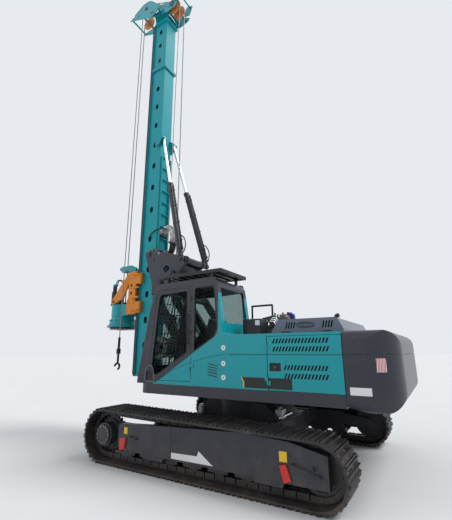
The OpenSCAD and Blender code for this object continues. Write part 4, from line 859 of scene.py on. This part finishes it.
for side in (1, -1):
    name, body = side_name(side), track_body(side)
    for spot, outline in WEDGES.items():
        piece(f"tie_wedge_{spot}_{name}", body, "red_paint", on_panel(side, outline, 0.030, 0.002), bevel=0.005)
        piece(f"yellow_label_{spot}_{name}", body, "yellow_plate", on_panel(side, LABELS[spot], 0.002))
    piece(f"frame_arrow_{name}", body, "white_plate", on_panel(side, ARROW, 0.0015))
    piece(f"grab_bars_{name}", body, "frame_paint", grab_bars(side), smooth=True)


# Shoe bolts of the tracks
SHOE_PITCH, SHOE_PHASE = 0.171, 0.32


def track_line():
    """The chain's line as the shoes follow it: places and outward directions at equal steps."""
    half, front_r, rear_r, shoe = 2.29, 0.435, 0.400, 0.050
    front_x, rear_x = half - front_r, -half + rear_r
    a, b = front_r - shoe, rear_r - shoe
    low, fall = front_x - rear_x, 0.07
    top = math.hypot(low, fall)
    total = low + top + math.pi * (a + b)
    count = round(total / SHOE_PITCH)
    tilt = math.atan2(fall, low)
    found = []
    for i in range(count):
        s = (i + SHOE_PHASE) * total / count
        if s < low:
            found.append((rear_x + s, shoe, -math.pi / 2))
        elif s < low + math.pi * a:
            t = -math.pi / 2 + (s - low) / a
            found.append((front_x + a * math.cos(t), front_r + a * math.sin(t), t))
        elif s < low + math.pi * a + top:
            t = (s - low - math.pi * a) / top
            found.append((front_x - t * low, 0.87 - shoe - t * fall, math.pi / 2 + tilt))
        else:
            t = math.pi / 2 + (s - low - math.pi * a - top) / b
            found.append((rear_x + b * math.cos(t), rear_r + b * math.sin(t), t))
    return found


for side in (1, -1):
    spots = []
    for x, z, turn in track_line():
        way = Vector((math.cos(turn), 0, math.sin(turn)))
        for across in (-0.17, -0.09, 0.09, 0.17):
            spots.append((Vector((x, side * TRACK_Y + across, z)) + way * 0.022, way))
    fasteners(f"shoe_bolts_{side_name(side)}", track_body(side), spots, r=0.012, h=0.012, finish="shoe_steel")


# Mast head. HEAD_Y is the outer face of its plates
HEAD_Y = 0.320
SHEAVE_SHAFTS = ((3.47, 12.36), (2.20, 12.0))
HEAD_PINS = ((2.32, 11.93), (2.62, 11.85), (2.82, 11.93), (3.60, 12.33), (3.84, 12.42), (2.9, 12.10), (2.42, 12.02))


def head_bolts():
    spots = []
    for side, way in BOTH_SIDES:
        for x, z in SHEAVE_SHAFTS:
            spots += [(p, way) for p in ring_of((x, side * HEAD_Y, z), 0.068, 8, "Y")]
        spots += [((x, side * HEAD_Y, z), way) for x, z in HEAD_PINS]
    return spots


def shaft_plates(form):
    for x, z in SHEAVE_SHAFTS:
        for s in (-1, 1):
            round_bar(form, (x, s * (HEAD_Y - 0.002), z), (x, s * (HEAD_Y + 0.016), z), 0.095, 32)


fasteners("head_bolts", "mast", head_bolts(), r=0.016, h=0.014)
piece("head_shaft_plates", "mast", "dark_paint", shaft_plates, bevel=0.003)

# The outer plate that covers the auxiliary sheave at the head's front
SHEAVE_PLATE = rounded([(3.668, 12.225), (3.640, 12.330), (3.420, 12.440), (3.300, 12.510), (3.050, 12.520),
                        (2.900, 12.420), (2.700, 12.190), (2.560, 12.090), (2.560, 11.960), (2.790, 11.830),
                        (2.957, 11.800), (3.213, 11.925), (3.546, 12.108)], 0.06, 4)
PLATE_HOLE = rounded([(2.960, 12.020), (2.800, 11.970), (2.800, 11.900), (2.960, 11.930)], 0.05, 6)


def sheave_plate(form):
    prism(form, SHEAVE_PLATE, 0.4215, 0.4335)


def sheave_plate_rim(form):
    """The folded lip that stiffens the outer plate's edge, and the distance pieces that hold it."""
    outline_tube(form, SHEAVE_PLATE, 0.4345, 0.007)
    for x, z in ((2.66, 12.02), (3.50, 12.22)):
        round_bar(form, (x, HEAD_Y - 0.002, z), (x, 0.424, z), 0.028, 24)
        round_bar(form, (x, 0.432, z), (x, 0.444, z), 0.040, 24)


def sheave_plate_caps(form):
    round_bar(form, (3.150, 0.432, 12.290), (3.150, 0.448, 12.290), 0.062, 32)
    prism(form, PLATE_HOLE, 0.430, 0.4345)


piece("sheave_plate", "mast", "teal_paint", sheave_plate, bevel=0.003)
piece("sheave_plate_rim", "mast", "teal_paint", sheave_plate_rim, smooth=True)
piece("sheave_plate_caps", "mast", "dark_paint", sheave_plate_caps, bevel=0.002)


# Mast: flange bolts, rail bolts, lamps and the hose bundle
def flange_bolts():
    spots = []
    for z, out in ((9.962, UP), (9.878, DOWN)):
        spots += [((x, y, z), out) for x in (2.44, 2.56, 2.68, 2.80) for y in (-0.222, 0.222)]
        spots += [((2.435, y, z), out) for y in (-0.14, -0.05, 0.05, 0.14)]
    return spots


def rail_bolts():
    heights = [1.45 + 0.3 * i for i in range(34)]
    return [((2.975, s * 0.195, z), FRONT) for z in heights for s in (-1, 1)]


def head_lamps(form):
    round_bar(form, (3.60, 0.26, 12.43), (3.60, 0.26, 12.49), 0.028)
    round_bar(form, (2.75, 0.26, 12.10), (2.75, 0.26, 12.17), 0.024)


fasteners("mast_joint_bolts", "mast", flange_bolts(), r=0.014, h=0.014)
fasteners("rail_bolts", "mast", rail_bolts(), r=0.012, h=0.004)
piece("head_lamps", "mast", "red_paint", head_lamps, smooth=True)

# Each hose of the bundle: its place across the mast and its lift
BUNDLE = ((0.13, 0.0), (0.06, 0.05), (-0.02, 0.02), (-0.10, 0.06))


def bundle_sleeves(form):
    for i, (y, lift) in enumerate(BUNDLE):
        hose(form, [(2.452, y, 4.70 + lift), (2.36, y, 4.80 + lift), (2.20, y, 4.86 + lift),
                    (2.07 - 0.02 * i, y, 4.78 + lift), (2.03 - 0.02 * i, y, 4.60), (2.06, y * 0.8, 4.44)], 0.032, 12)


def bundle_hoses(form):
    for y, lift in BUNDLE:
        hose(form, [(2.06, y * 0.8, 4.44), (2.09, y * 0.7, 4.28), (2.18, y * 0.6, 4.14), (2.32, y * 0.5, 4.02),
                    (2.452, y * 0.4, 3.98)], 0.022)
    hose(form, [(2.685, 0.17, 4.616), (2.685, 0.225, 4.63), (2.60, 0.245, 4.72), (2.47, 0.235, 4.80),
                (2.33, 0.19, 4.84), (2.22, 0.14, 4.82)], 0.016, steps=6)


def bundle_clamps(form):
    box(form, (2.02, -0.15, 4.42), (2.10, 0.15, 4.46))
    box(form, (2.40, -0.13, 4.68), (2.458, 0.17, 4.74))
    box(form, (2.40, -0.08, 3.955), (2.458, 0.09, 4.005))


piece("bundle_sleeves", "mast", "pale_sleeve", bundle_sleeves, smooth=True)
piece("bundle_hoses", "mast", "rubber", bundle_hoses, smooth=True)
piece("bundle_clamps", "mast", "dark_paint", bundle_clamps, bevel=0.004)


# Carriage and power head
CARRIAGE_Y = 0.300
DRIVE_X = 3.68
MOTOR_X, MOTOR_Y = 3.935, 0.12


def carriage_bolts():
    spots = []
    for side, way in BOTH_SIDES:
        for low in (2.76, 3.46):
            spots += [((2.835, side * CARRIAGE_Y, low + 0.055 * i), way) for i in range(5)]
        spots += [((x, side * CARRIAGE_Y, z), way) for x in (3.03, 3.19) for z in (2.98, 3.06, 3.62)]
    return spots


def housing_bolts():
    spots = ring_of((DRIVE_X, 0, 2.98), 0.272, 20, "Z", 0.08)
    for s in (-1, 1):
        spots += ring_of((MOTOR_X, s * MOTOR_Y, 3.020), 0.079, 6, "Z", 0.5)
    spots += ring_of((DRIVE_X, 0, 2.47), 0.345, 16, "Z")
    return [(p, UP) for p in spots]


def motor_rings(form):
    for y in (-MOTOR_Y, MOTOR_Y):
        for z, r in ((3.12, 0.078), (3.24, 0.078), (3.338, 0.080)):
            round_bar(form, (MOTOR_X, y, z - 0.008), (MOTOR_X, y, z + 0.008), r, 40)
        box(form, (MOTOR_X - 0.035, y - 0.03, 3.40), (MOTOR_X + 0.035, y + 0.03, 3.46))


def motor_hoses(form):
    for s in (-1, 1):
        for d in (-0.03, 0.03):
            hose(form, [(3.87 + d, s * 0.12, 3.50), (3.86 + d, s * 0.125, 3.60), (3.76 + d, s * 0.14, 3.66),
                        (3.60 + d, s * 0.15, 3.58), (3.42 + d, s * 0.13, 3.42), (3.26, s * 0.12 + d, 3.34),
                        (3.19, s * 0.12 + d, 3.33)], 0.013, 8)


fasteners("carriage_bolts", "carriage", carriage_bolts(), r=0.015, h=0.013, finish="orange_paint")
fasteners("power_head_bolts", "carriage", housing_bolts(), r=0.012, h=0.011)
piece("motor_rings", "carriage", "dark_paint", motor_rings, bevel=0.002)
piece("motor_hoses", "carriage", "rubber", motor_hoses, smooth=True)


# Mast carrier. CARRIER_Y is the outer face of its plates, whose upper edge falls towards the rear
CARRIER_Y = 0.340
CARRIER_BOLTS = ((2.56, 4.225), (2.60, 4.215), (2.585, 4.185), (2.20, 4.140), (2.24, 4.150), (2.22, 4.115),
                 (1.45, 3.80), (1.36, 3.79))
CARRIER_HOLES = (((1.960, 3.700), 0.103), ((2.300, 4.000), 0.028))
PIVOT = (2.550, 4.150)


def carrier_edge(x):
    return 4.254 - (2.51 - x) * 0.2752


def carrier_clamps(form):
    for y in (-0.315, 0.315):
        for x in (2.42, 2.30, 2.02):
            z = carrier_edge(x)
            box(form, (x - 0.022, y - 0.040, z - 0.010), (x + 0.022, y + 0.040, z + 0.045))
            round_bar(form, (x, y - 0.044, z + 0.020), (x, y + 0.044, z + 0.020), 0.014, 12)


def carrier_hoses(form):
    for s in (-1, 1):
        for y in (0.300, 0.330):
            line = [(x, s * y, carrier_edge(x) + 0.026 + 0.010 * (k % 2))
                    for k, x in enumerate(2.455 - 0.10 * k for k in range(6))]
            hose(form, line, 0.010, 8, 4)


def hole_rims(form):
    for s in (-1, 1):
        for (x, z), r in CARRIER_HOLES:
            ring = [(x + r * math.cos(a), z + r * math.sin(a)) for a in turns(48)]
            outline_tube(form, ring, s * CARRIER_Y, 0.006)


def pivot_caps(form):
    x, z = PIVOT
    for s in (-1, 1):
        round_bar(form, (x, s * 0.344, z), (x, s * 0.363, z), 0.066, 40)
        round_bar(form, (x, s * 0.362, z), (x, s * 0.372, z), 0.024, 24)


carrier_spots = [((x, side * CARRIER_Y, z), way) for side, way in BOTH_SIDES for x, z in CARRIER_BOLTS]
fasteners("carrier_bolts", "mast_carrier", carrier_spots, r=0.016, h=0.004)
piece("carrier_clamps", "mast_carrier", "hood_paint", carrier_clamps, bevel=0.003)
piece("carrier_hoses", "mast_carrier", "rubber", carrier_hoses, smooth=True)
piece("carrier_hole_rims", "mast_carrier", "hood_paint", hole_rims, smooth=True)
piece("pivot_caps", "mast", "dark_paint", pivot_caps, bevel=0.003)


# Valves, box and hoses behind the cab. Heights are given above the covers' top
def deck_box(form, low, high):
    box(form, (low[0], low[1], COVER_TOP + low[2]), (high[0], high[1], COVER_TOP + high[2]))


def deck_post(form, x, y, low, high, r, sides=16):
    round_bar(form, (x, y, COVER_TOP + low), (x, y, COVER_TOP + high), r, sides)


def valve_block(form):
    deck_box(form, (-1.02, 0.30, 0), (-0.66, 0.70, 0.10))
    for i in range(5):
        deck_box(form, (-0.985 + i * 0.062, 0.34, 0.10), (-0.94 + i * 0.062, 0.66, 0.19))
    for x in (-0.96, -0.84, -0.72):
        deck_post(form, x, 0.36, 0.19, 0.25, 0.018)


def valve_spools(form):
    for x in (-0.96, -0.84):
        deck_post(form, x, 0.46, 0.19, 0.30, 0.026, 20)
    round_bar(form, (-0.72, 0.30, COVER_TOP + 0.15), (-0.72, 0.20, COVER_TOP + 0.15), 0.030)


def valve_coils(form):
    for x in (-0.90, -0.78):
        deck_post(form, x, 0.58, 0.19, 0.28, 0.024, 20)


SECTIONS, SECTION_STEP = 6, 0.054


def valve_bank(form):
    """The second row of valve sections, which stands higher and nearer the middle."""
    deck_box(form, (-1.02, -0.12, 0), (-0.68, 0.285, 0.22))
    for i in range(SECTIONS):
        x = -1.005 + i * SECTION_STEP
        for y, top in ((0.170, 0.33 + 0.03 * (i % 2)), (-0.10, 0.34 + 0.04 * ((i + 1) % 3))):
            deck_box(form, (x, y, 0.22), (x + 0.039, y + 0.105, top))


def valve_caps(form):
    for i in range(SECTIONS):
        x = -0.9855 + i * SECTION_STEP
        deck_post(form, x, 0.222, 0.32, 0.385 + 0.03 * (i % 3), 0.017)
        if i > 1:
            deck_post(form, x, -0.048, 0.32, 0.42 + 0.02 * (i % 2), 0.020)


def valve_knobs(form):
    for x, top in ((-0.878, 0.475), (-0.770, 0.455)):
        deck_post(form, x, -0.048, 0.41, top, 0.027)


def pilot_valves(form):
    for x, z in ((-0.985, 0.36), (-0.93, 0.40)):
        deck_box(form, (x - 0.022, -0.085, z - 0.03), (x + 0.022, -0.010, z + 0.065))
    deck_post(form, -1.015, 0.045, 0.20, 0.40, 0.024)
    round_bar(form, (-1.02, 0.045, COVER_TOP + 0.40), (-0.92, 0.045, COVER_TOP + 0.44), 0.026)


def hose_loops(form):
    for i in range(5):
        x, y = -0.600 - 0.028 * i, 0.765 - 0.035 * i
        hose(form, [(x, y, COVER_TOP - 0.01), (x - 0.01, y, COVER_TOP + 0.15),
                    (x - 0.06, y - 0.01, COVER_TOP + 0.27 + 0.012 * i),
                    (x - 0.16, y - 0.02, COVER_TOP + 0.30 + 0.010 * i),
                    (x - 0.25, y - 0.04, COVER_TOP + 0.22), (x - 0.28, y - 0.08, COVER_TOP + 0.12)], 0.014)


def steel_loops(form):
    for i in range(3):
        y, z = 0.800 - 0.05 * i, COVER_TOP + 0.21 + 0.035 * i
        hose(form, [(-0.845, y, z), (-0.88, y, z + 0.03), (-0.93, y - 0.01, z + 0.02), (-0.965, y - 0.03, z - 0.06),
                    (-0.975, y - 0.06, COVER_TOP + 0.05)], 0.011)


def deck_hoses(form):
    for y in (0.38 + 0.05 * i for i in range(6)):
        hose(form, [(-0.66, y, COVER_TOP + 0.05), (-0.56, y, COVER_TOP + 0.055), (-0.50, y - 0.01, COVER_TOP + 0.03),
                    (-0.455, y - 0.02, COVER_TOP - 0.06), (-0.45, y - 0.02, 1.75), (-0.44, y - 0.03, 1.40),
                    (-0.44, y - 0.03, 1.29)], 0.015, 8)


piece("valve_bank", "upper", "cast_paint", valve_bank, bevel=0.003)
piece("valve_caps", "upper", "bare_steel", valve_caps, bevel=0.002)
piece("valve_knobs", "upper", "red_paint", valve_knobs, bevel=0.003)
piece("pilot_valves", "upper", "blue_paint", pilot_valves, bevel=0.003)
piece("hose_loops", "upper", "rubber", hose_loops, smooth=True)
piece("steel_loops", "upper", "chrome_rod", steel_loops, smooth=True)
piece("valve_block", "upper", "cast_paint", valve_block, bevel=0.003)
piece("valve_spools", "upper", "blue_paint", valve_spools, bevel=0.002)
piece("valve_coils", "upper", "red_paint", valve_coils, bevel=0.002)
piece("control_box", "upper", "black_paint", lambda form: deck_box(form, (-0.83, 0.84, 0), (-0.50, 1.12, 0.27)),
      bevel=0.008)
piece("control_box_plate", "upper", "white_plate",
      lambda form: deck_box(form, (-0.82, 1.12, 0.16), (-0.735, 1.122, 0.245)))
piece("deck_hoses", "upper", "rubber", deck_hoses, smooth=True)


# Hood trims. The oval grille lies on the hood's left face
HOOD_Y = 1.180
OVAL_X, OVAL_Z, OVAL_LONG, OVAL_TALL = -1.615, COVER_TOP + 0.13, 0.145, 0.042


def oval_rim(form):
    ring = [(OVAL_X + OVAL_LONG * math.cos(a), OVAL_Z + OVAL_TALL * math.sin(a)) for a in turns(40)]
    outline_tube(form, ring, HOOD_Y + 0.001, 0.006)


# The dark slots between the grille's bars are painted shade in its openings.
def oval_slots(form):
    for across in (0.024 * i for i in range(-5, 6)):
        x = OVAL_X + across
        tall = 0.036 * math.sqrt(1 - (across / OVAL_LONG) ** 2)
        for low, high in ((-tall, -0.006), (0.006, tall)):
            prism(form, rect(x - 0.007, OVAL_Z + low, x + 0.007, OVAL_Z + high), HOOD_Y - 0.001, HOOD_Y + 0.0015)


def hood_handles(form):
    low, high = COVER_TOP + 0.03, COVER_TOP + 0.032
    for x in (-1.30, -1.93):
        hose(form, [(x - 0.06, HOOD_Y, low), (x - 0.055, HOOD_Y + 0.025, high), (x + 0.055, HOOD_Y + 0.025, high),
                    (x + 0.06, HOOD_Y, low)], 0.007, 8, 4)


def exhaust(form):
    x, y, z = -1.88, 0.30, COVER_TOP + 0.28
    hose(form, [(x, y, z - 0.02), (x, y, z + 0.03), (x - 0.015, y, z + 0.045), (x - 0.05, y, z + 0.06)], 0.034, 20)


piece("hood_oval_rim", "hood", "dark_paint", oval_rim, smooth=True)
piece("hood_oval_slots", "hood", "rubber", oval_slots)
piece("hood_handles", "hood", "black_paint", hood_handles, smooth=True)
piece("exhaust_bend", "hood", "rubber", exhaust, smooth=True)


# Cab: levers and screen inside, lamps outside
CAB_MIDDLE_Y = 1.047
LAMPS_Y = (0.72, 1.38)


def cab_levers(form):
    for y in (CAB_MIDDLE_Y - 0.30, CAB_MIDDLE_Y + 0.30):
        round_bar(form, (0.60, y, 1.95), (0.605, y, 2.02), 0.028, 16, 0.020)
    box(form, (0.98, 0.64, 1.95), (1.12, 0.88, 2.13))
    hose(form, [(1.06, 0.72, 1.32), (1.05, 0.74, 1.60), (1.04, 0.76, 1.96)], 0.022, steps=4)


def work_lamps(form):
    for y in LAMPS_Y:
        box(form, (1.13, y - 0.06, 3.085), (1.20, y + 0.06, 3.185))
    round_bar(form, (-0.30, 1.28, 3.10), (-0.30, 1.28, 3.16), 0.02, 12)


def lamp_glasses(form):
    for y in LAMPS_Y:
        box(form, (1.2, y - 0.048, 3.097), (1.205, y + 0.048, 3.173))


piece("cab_screen_and_levers", "upper", "rubber", cab_levers, bevel=0.004)
piece("work_lamp_body", "upper", "black_paint", work_lamps, bevel=0.008)
piece("work_lamp_glass", "upper", "lamp_lens", lamp_glasses, bevel=0.002)


# Chain links inside the tracks
LINK_FRONT, LINK_LOW, LINK_HIGH, LINK_THICK = 0.078, -0.040, 0.030, 0.034


def chain_links(side):
    def build(form):
        for x, z, turn in track_line():
            out = Vector((math.cos(turn), 0, math.sin(turn)))
            along = Vector((-out.z, 0, out.x))
            for y in (-0.105, 0.105):
                middle = Vector((x, side * TRACK_Y + y, z)) - out * 0.052
                corners = [middle + along * a + out * b for a, b in rect(-LINK_FRONT, LINK_LOW, LINK_FRONT, LINK_HIGH)]
                near, far = ([form.verts.new(at(c.x, c.y + d, c.z)) for c in corners]
                             for d in (-LINK_THICK / 2, LINK_THICK / 2))
                form.faces.new(near)
                form.faces.new(far[::-1])
                for k in range(4):
                    form.faces.new((near[k], far[k], far[k - 3], near[k - 3]))
    return build


for side in (1, -1):
    piece(f"chain_links_{side_name(side)}", track_body(side), "shoe_steel", chain_links(side), bevel=0.006)


# Roof guard panel and front window guard
ROOF_PANEL = [(-0.30, 3.205), (1.00, 3.205), (1.03, 3.190), (1.03, 3.150), (1.015, 3.150), (1.015, 3.184),
              (-0.285, 3.192), (-0.285, 3.135), (-0.30, 3.135)]
ROOF_CHEEK = [(-0.30, 3.206), (1.00, 3.206), (1.03, 3.191), (1.03, 3.150), (-0.30, 3.140)]
# The front window's line: its foot, its bend and its top
FRONT_LINE = ((1.512, 1.40), (1.285, 2.575), (1.165, 2.93))


def roof_panel(form):
    prism(form, ROOF_PANEL, 0.590, 1.500)
    for y in (0.588, 1.490):
        prism(form, ROOF_CHEEK, y, y + 0.012)


def window_guard(form):
    (foot_x, foot_z), (bend_x, bend_z), top = FRONT_LINE
    for y in (0.615 + i * 0.0945 for i in range(10)):
        tube(form, [at(x, y, z) for x, z in FRONT_LINE], 0.007, 6)
    for z in (foot_z + i * 0.190 for i in range(9)):
        x = foot_x - (z - foot_z) * 0.1932 if z < bend_z else bend_x - (z - bend_z) * 0.338
        tube(form, [at(x, 0.590, z), at(x, 1.500, z)], 0.009, 6)


piece("roof_guard_panel", "upper", "black_paint", roof_panel, bevel=0.004)
piece("front_window_guard", "upper", "black_paint", window_guard, smooth=True)


# Counterweight plates on its rounded corner
CORNER_X, CORNER_Y, CORNER_R = -2.480, 1.127, 0.4205


def corner_arc(r, degrees):
    return [(CORNER_X + r * math.cos(t), CORNER_Y + r * math.sin(t)) for t in (math.radians(d) for d in degrees)]


def corner_plate(form):
    """A thin curved plate on the corner."""
    degrees = [109 + 1.7 * i for i in range(11)]
    outline = corner_arc(CORNER_R + 0.002, degrees) + corner_arc(CORNER_R, degrees)[::-1]
    plan_prism(form, outline, 1.555, 1.725)


def lower_edge_plate(form):
    """The plate at the lower edge, which runs on round the start of the corner."""
    degrees = [90 + 1.6 * i for i in range(6)]
    outer, inner = ([(-2.276, CORNER_Y + r)] + corner_arc(r, degrees) for r in (CORNER_R + 0.002, CORNER_R - 0.001))
    plan_prism(form, outer + inner[::-1], 1.270, 1.366)


piece("tail_striped_plate", "upper", "stripe_plate", corner_plate)
piece("tail_side_plate", "upper", "white_plate", lower_edge_plate)


# Fittings round the drive's bell
def bell_fittings():
    ways = [(math.cos(a), math.sin(a), 0.0) for a in turns(12, math.radians(15))]
    return [((DRIVE_X + 0.312 * u, 0.312 * v, 2.585), (u, v, w)) for u, v, w in ways]


fasteners("bell_fittings", "carriage", bell_fittings(), r=0.026, h=0.022, finish="teal_paint", sides=16)


# Pipes and hoses of the mast cylinders
BARREL_R = 0.068


def barrel_line(side):
    """A mast cylinder's foot, its direction, and the ways to its back and its outer back corner."""
    foot, eye = Vector((1.400, side * 0.500, 3.850)), Vector((2.365, side * 0.205, 7.450))
    along = (eye - foot).normalized()
    back = along.cross(Vector(LEFT)).normalized()
    return foot, along, back, (Vector(LEFT) * side + back).normalized()


def barrel_pipes(side):
    def build(form):
        foot, along, back, corner = barrel_line(side)
        for way, r, low, high in ((back, 0.014, 0.22, 2.02), (corner, 0.010, 0.22, 1.60)):
            off = BARREL_R + r + 0.010
            line = [(low, 0.06), (low + 0.03, off), (low + 0.10, off), (high - 0.10, off), (high - 0.03, off),
                    (high, 0.06)]
            hose(form, [foot + along * s + way * d for s, d in line], r, steps=4)
    return build


def clip_ring(form, middle, way, half, r_in, r_out, sides=32):
    """A flat ring round a line, from half its width behind its middle to half before."""
    turn = way.to_track_quat("Z", "Y")
    rings = []
    for r, d in ((r_in, -half), (r_out, -half), (r_out, half), (r_in, half)):
        rings.append([form.verts.new(at(*middle) + way * d + turn @ Vector((r * math.cos(a), r * math.sin(a), 0)))
                      for a in turns(sides)])
    for one, two in zip(rings, rings[1:] + rings[:1]):
        for k in range(sides):
            form.faces.new((one[k], one[k - 1], two[k - 1], two[k]))


def pipe_clips(side):
    """Rings round the barrel, with the blocks that hold its pipes and the ports near its foot."""
    def build(form):
        foot, along, back, corner = barrel_line(side)
        for place in (foot + along * s for s in (0.45, 0.95, 1.45, 1.90)):
            clip_ring(form, place, along, 0.018, 0.067, 0.074)
            round_bar(form, place + back * 0.05, place + back * 0.112, 0.020, 12)
        for place in (foot + along * s for s in (0.16, 0.25)):
            round_bar(form, place + corner * 0.05, place + corner * 0.105, 0.026, 16)
    return build


def foot_hose(side):
    """The hose that arches from the barrel's port down to its foot."""
    line = ((0.56, 0.055), (0.55, 0.110), (0.47, 0.165), (0.34, 0.190), (0.22, 0.165), (0.13, 0.105), (0.11, 0.055))

    def build(form):
        foot, along, back, corner = barrel_line(side)
        hose(form, [foot + along * s + back * d for s, d in line], 0.013, steps=6)
    return build


for side in (1, -1):
    name = side_name(side)
    piece(f"foot_hose_{name}", f"mast_barrel_{name}", "rubber", foot_hose(side), smooth=True)
    piece(f"barrel_pipes_{name}", f"mast_barrel_{name}", "dark_paint", barrel_pipes(side), smooth=True)
    piece(f"pipe_clips_{name}", f"mast_barrel_{name}", "dark_paint", pipe_clips(side), bevel=0.003)


# Fittings on the shoulders of the middle body
SHOULDER_HOSES_Y = (0.27, 0.32, 0.37)


def shoulder_blocks(form):
    box(form, (-0.86, 0.24, 0.685), (-0.73, 0.42, 0.83))
    for y in SHOULDER_HOSES_Y:
        round_bar(form, (-0.78, y, 0.83), (-0.78, y, 0.860), 0.016, 12)
    box(form, (0.70, 0.44, 0.685), (0.78, 0.60, 0.80))


def shoulder_rods(form):
    round_bar(form, (-0.85, 0.38, 0.725), (-0.945, 0.22, 0.775), 0.026)
    round_bar(form, (-0.85, 0.38, 0.725), (-0.80, 0.455, 0.70), 0.016, 16)
    for y in (0.50, 0.565):
        round_bar(form, (0.75, y, 0.80), (0.75, y, 0.84), 0.020, 16)


def shoulder_hoses(form):
    for i, y in enumerate(SHOULDER_HOSES_Y):
        hose(form, [(-0.78, y, 0.85), (-0.775, y, 0.89), (-0.73, y - 0.02, 0.925 + 0.01 * i),
                    (-0.64, y - 0.05, 0.93), (-0.57, y - 0.07, 0.955)], 0.012, 8)


# Their blocks are silver; the white paint is a painted reflection that keeps them bright in the shade under the body.
piece("shoulder_blocks", "undercarriage", "white_plate", shoulder_blocks, bevel=0.004)
piece("shoulder_rods", "undercarriage", "chrome_rod", shoulder_rods, smooth=True)
piece("shoulder_hoses", "undercarriage", "rubber", shoulder_hoses, smooth=True)

# Crease that sweeps over the door to the cab's rear quarter, drawn as a thin dark line of painted shade
DOOR_SWEEP = [(1.048, 1.291), (0.834, 1.415), (0.615, 1.521), (0.402, 1.599), (0.282, 1.640)]
SHELL_SWEEP = [(0.258, 1.645), (0.194, 1.662), (-0.125, 1.734), (-0.30, 1.762), (-0.458, 1.780)]


def sweep(line):
    return lambda form: tube(form, [at(x, SIDE, z) for x, z in line], 0.0035, 6)


piece("door_crease_shadow", "cab_door", "rubber", sweep(DOOR_SWEEP), smooth=True)
piece("quarter_crease_shadow", "upper", "rubber", sweep(SHELL_SWEEP), smooth=True)

# Stage and light. Each lamp: its name, its turn in degrees, its strength and its angle in degrees
LAMPS = (("key", (40, 0, -62), 2.1, 30), ("fill", (62, 0, 140), 0.5, 70))
LIGHT_ON_OBJECT, LIGHT_SEEN = 0.5, 0.86


def set_floor():
    tree, shader, place = new_finish("floor")
    tone = blend_colour(tree, noise(tree, place, 0.8, 4), rgb(222, 223, 224), rgb(230, 231, 232))
    feed(tree, shader, {"Base Color": tone, "Roughness": 0.85})
    mesh = bpy.data.meshes.new("floor")
    form = bmesh.new()
    bmesh.ops.create_circle(form, cap_ends=True, segments=64, radius=150)
    form.to_mesh(mesh)
    form.free()
    floor = bpy.data.objects.new("floor", mesh)
    floor.data.materials.append(FINISHES["floor"])
    scene.collection.objects.link(floor)
    floor.location.z = -0.002


def set_light():
    scene.world = bpy.data.worlds.new("studio")
    scene.world.use_nodes = True
    tree = scene.world.node_tree
    path = tree.nodes.new("ShaderNodeLightPath").outputs
    mirrored = maths(tree, "MAXIMUM", path["Is Glossy Ray"], path["Is Transmission Ray"])
    seen = maths(tree, "MAXIMUM", path["Is Camera Ray"], mirrored)
    feed(tree, tree.nodes["Background"], {
        "Strength": spread(tree, seen, 0, 1, LIGHT_ON_OBJECT, LIGHT_SEEN),
        "Color": (0.93, 0.96, 1.0, 1)})
    for name, turn, strength, angle in LAMPS:
        lamp = bpy.data.lights.new(name, "SUN")
        lamp.energy = strength
        lamp.angle = math.radians(angle)
        holder = bpy.data.objects.new(name, lamp)
        holder.rotation_euler = [math.radians(a) for a in turn]
        scene.collection.objects.link(holder)


set_floor()
set_light()
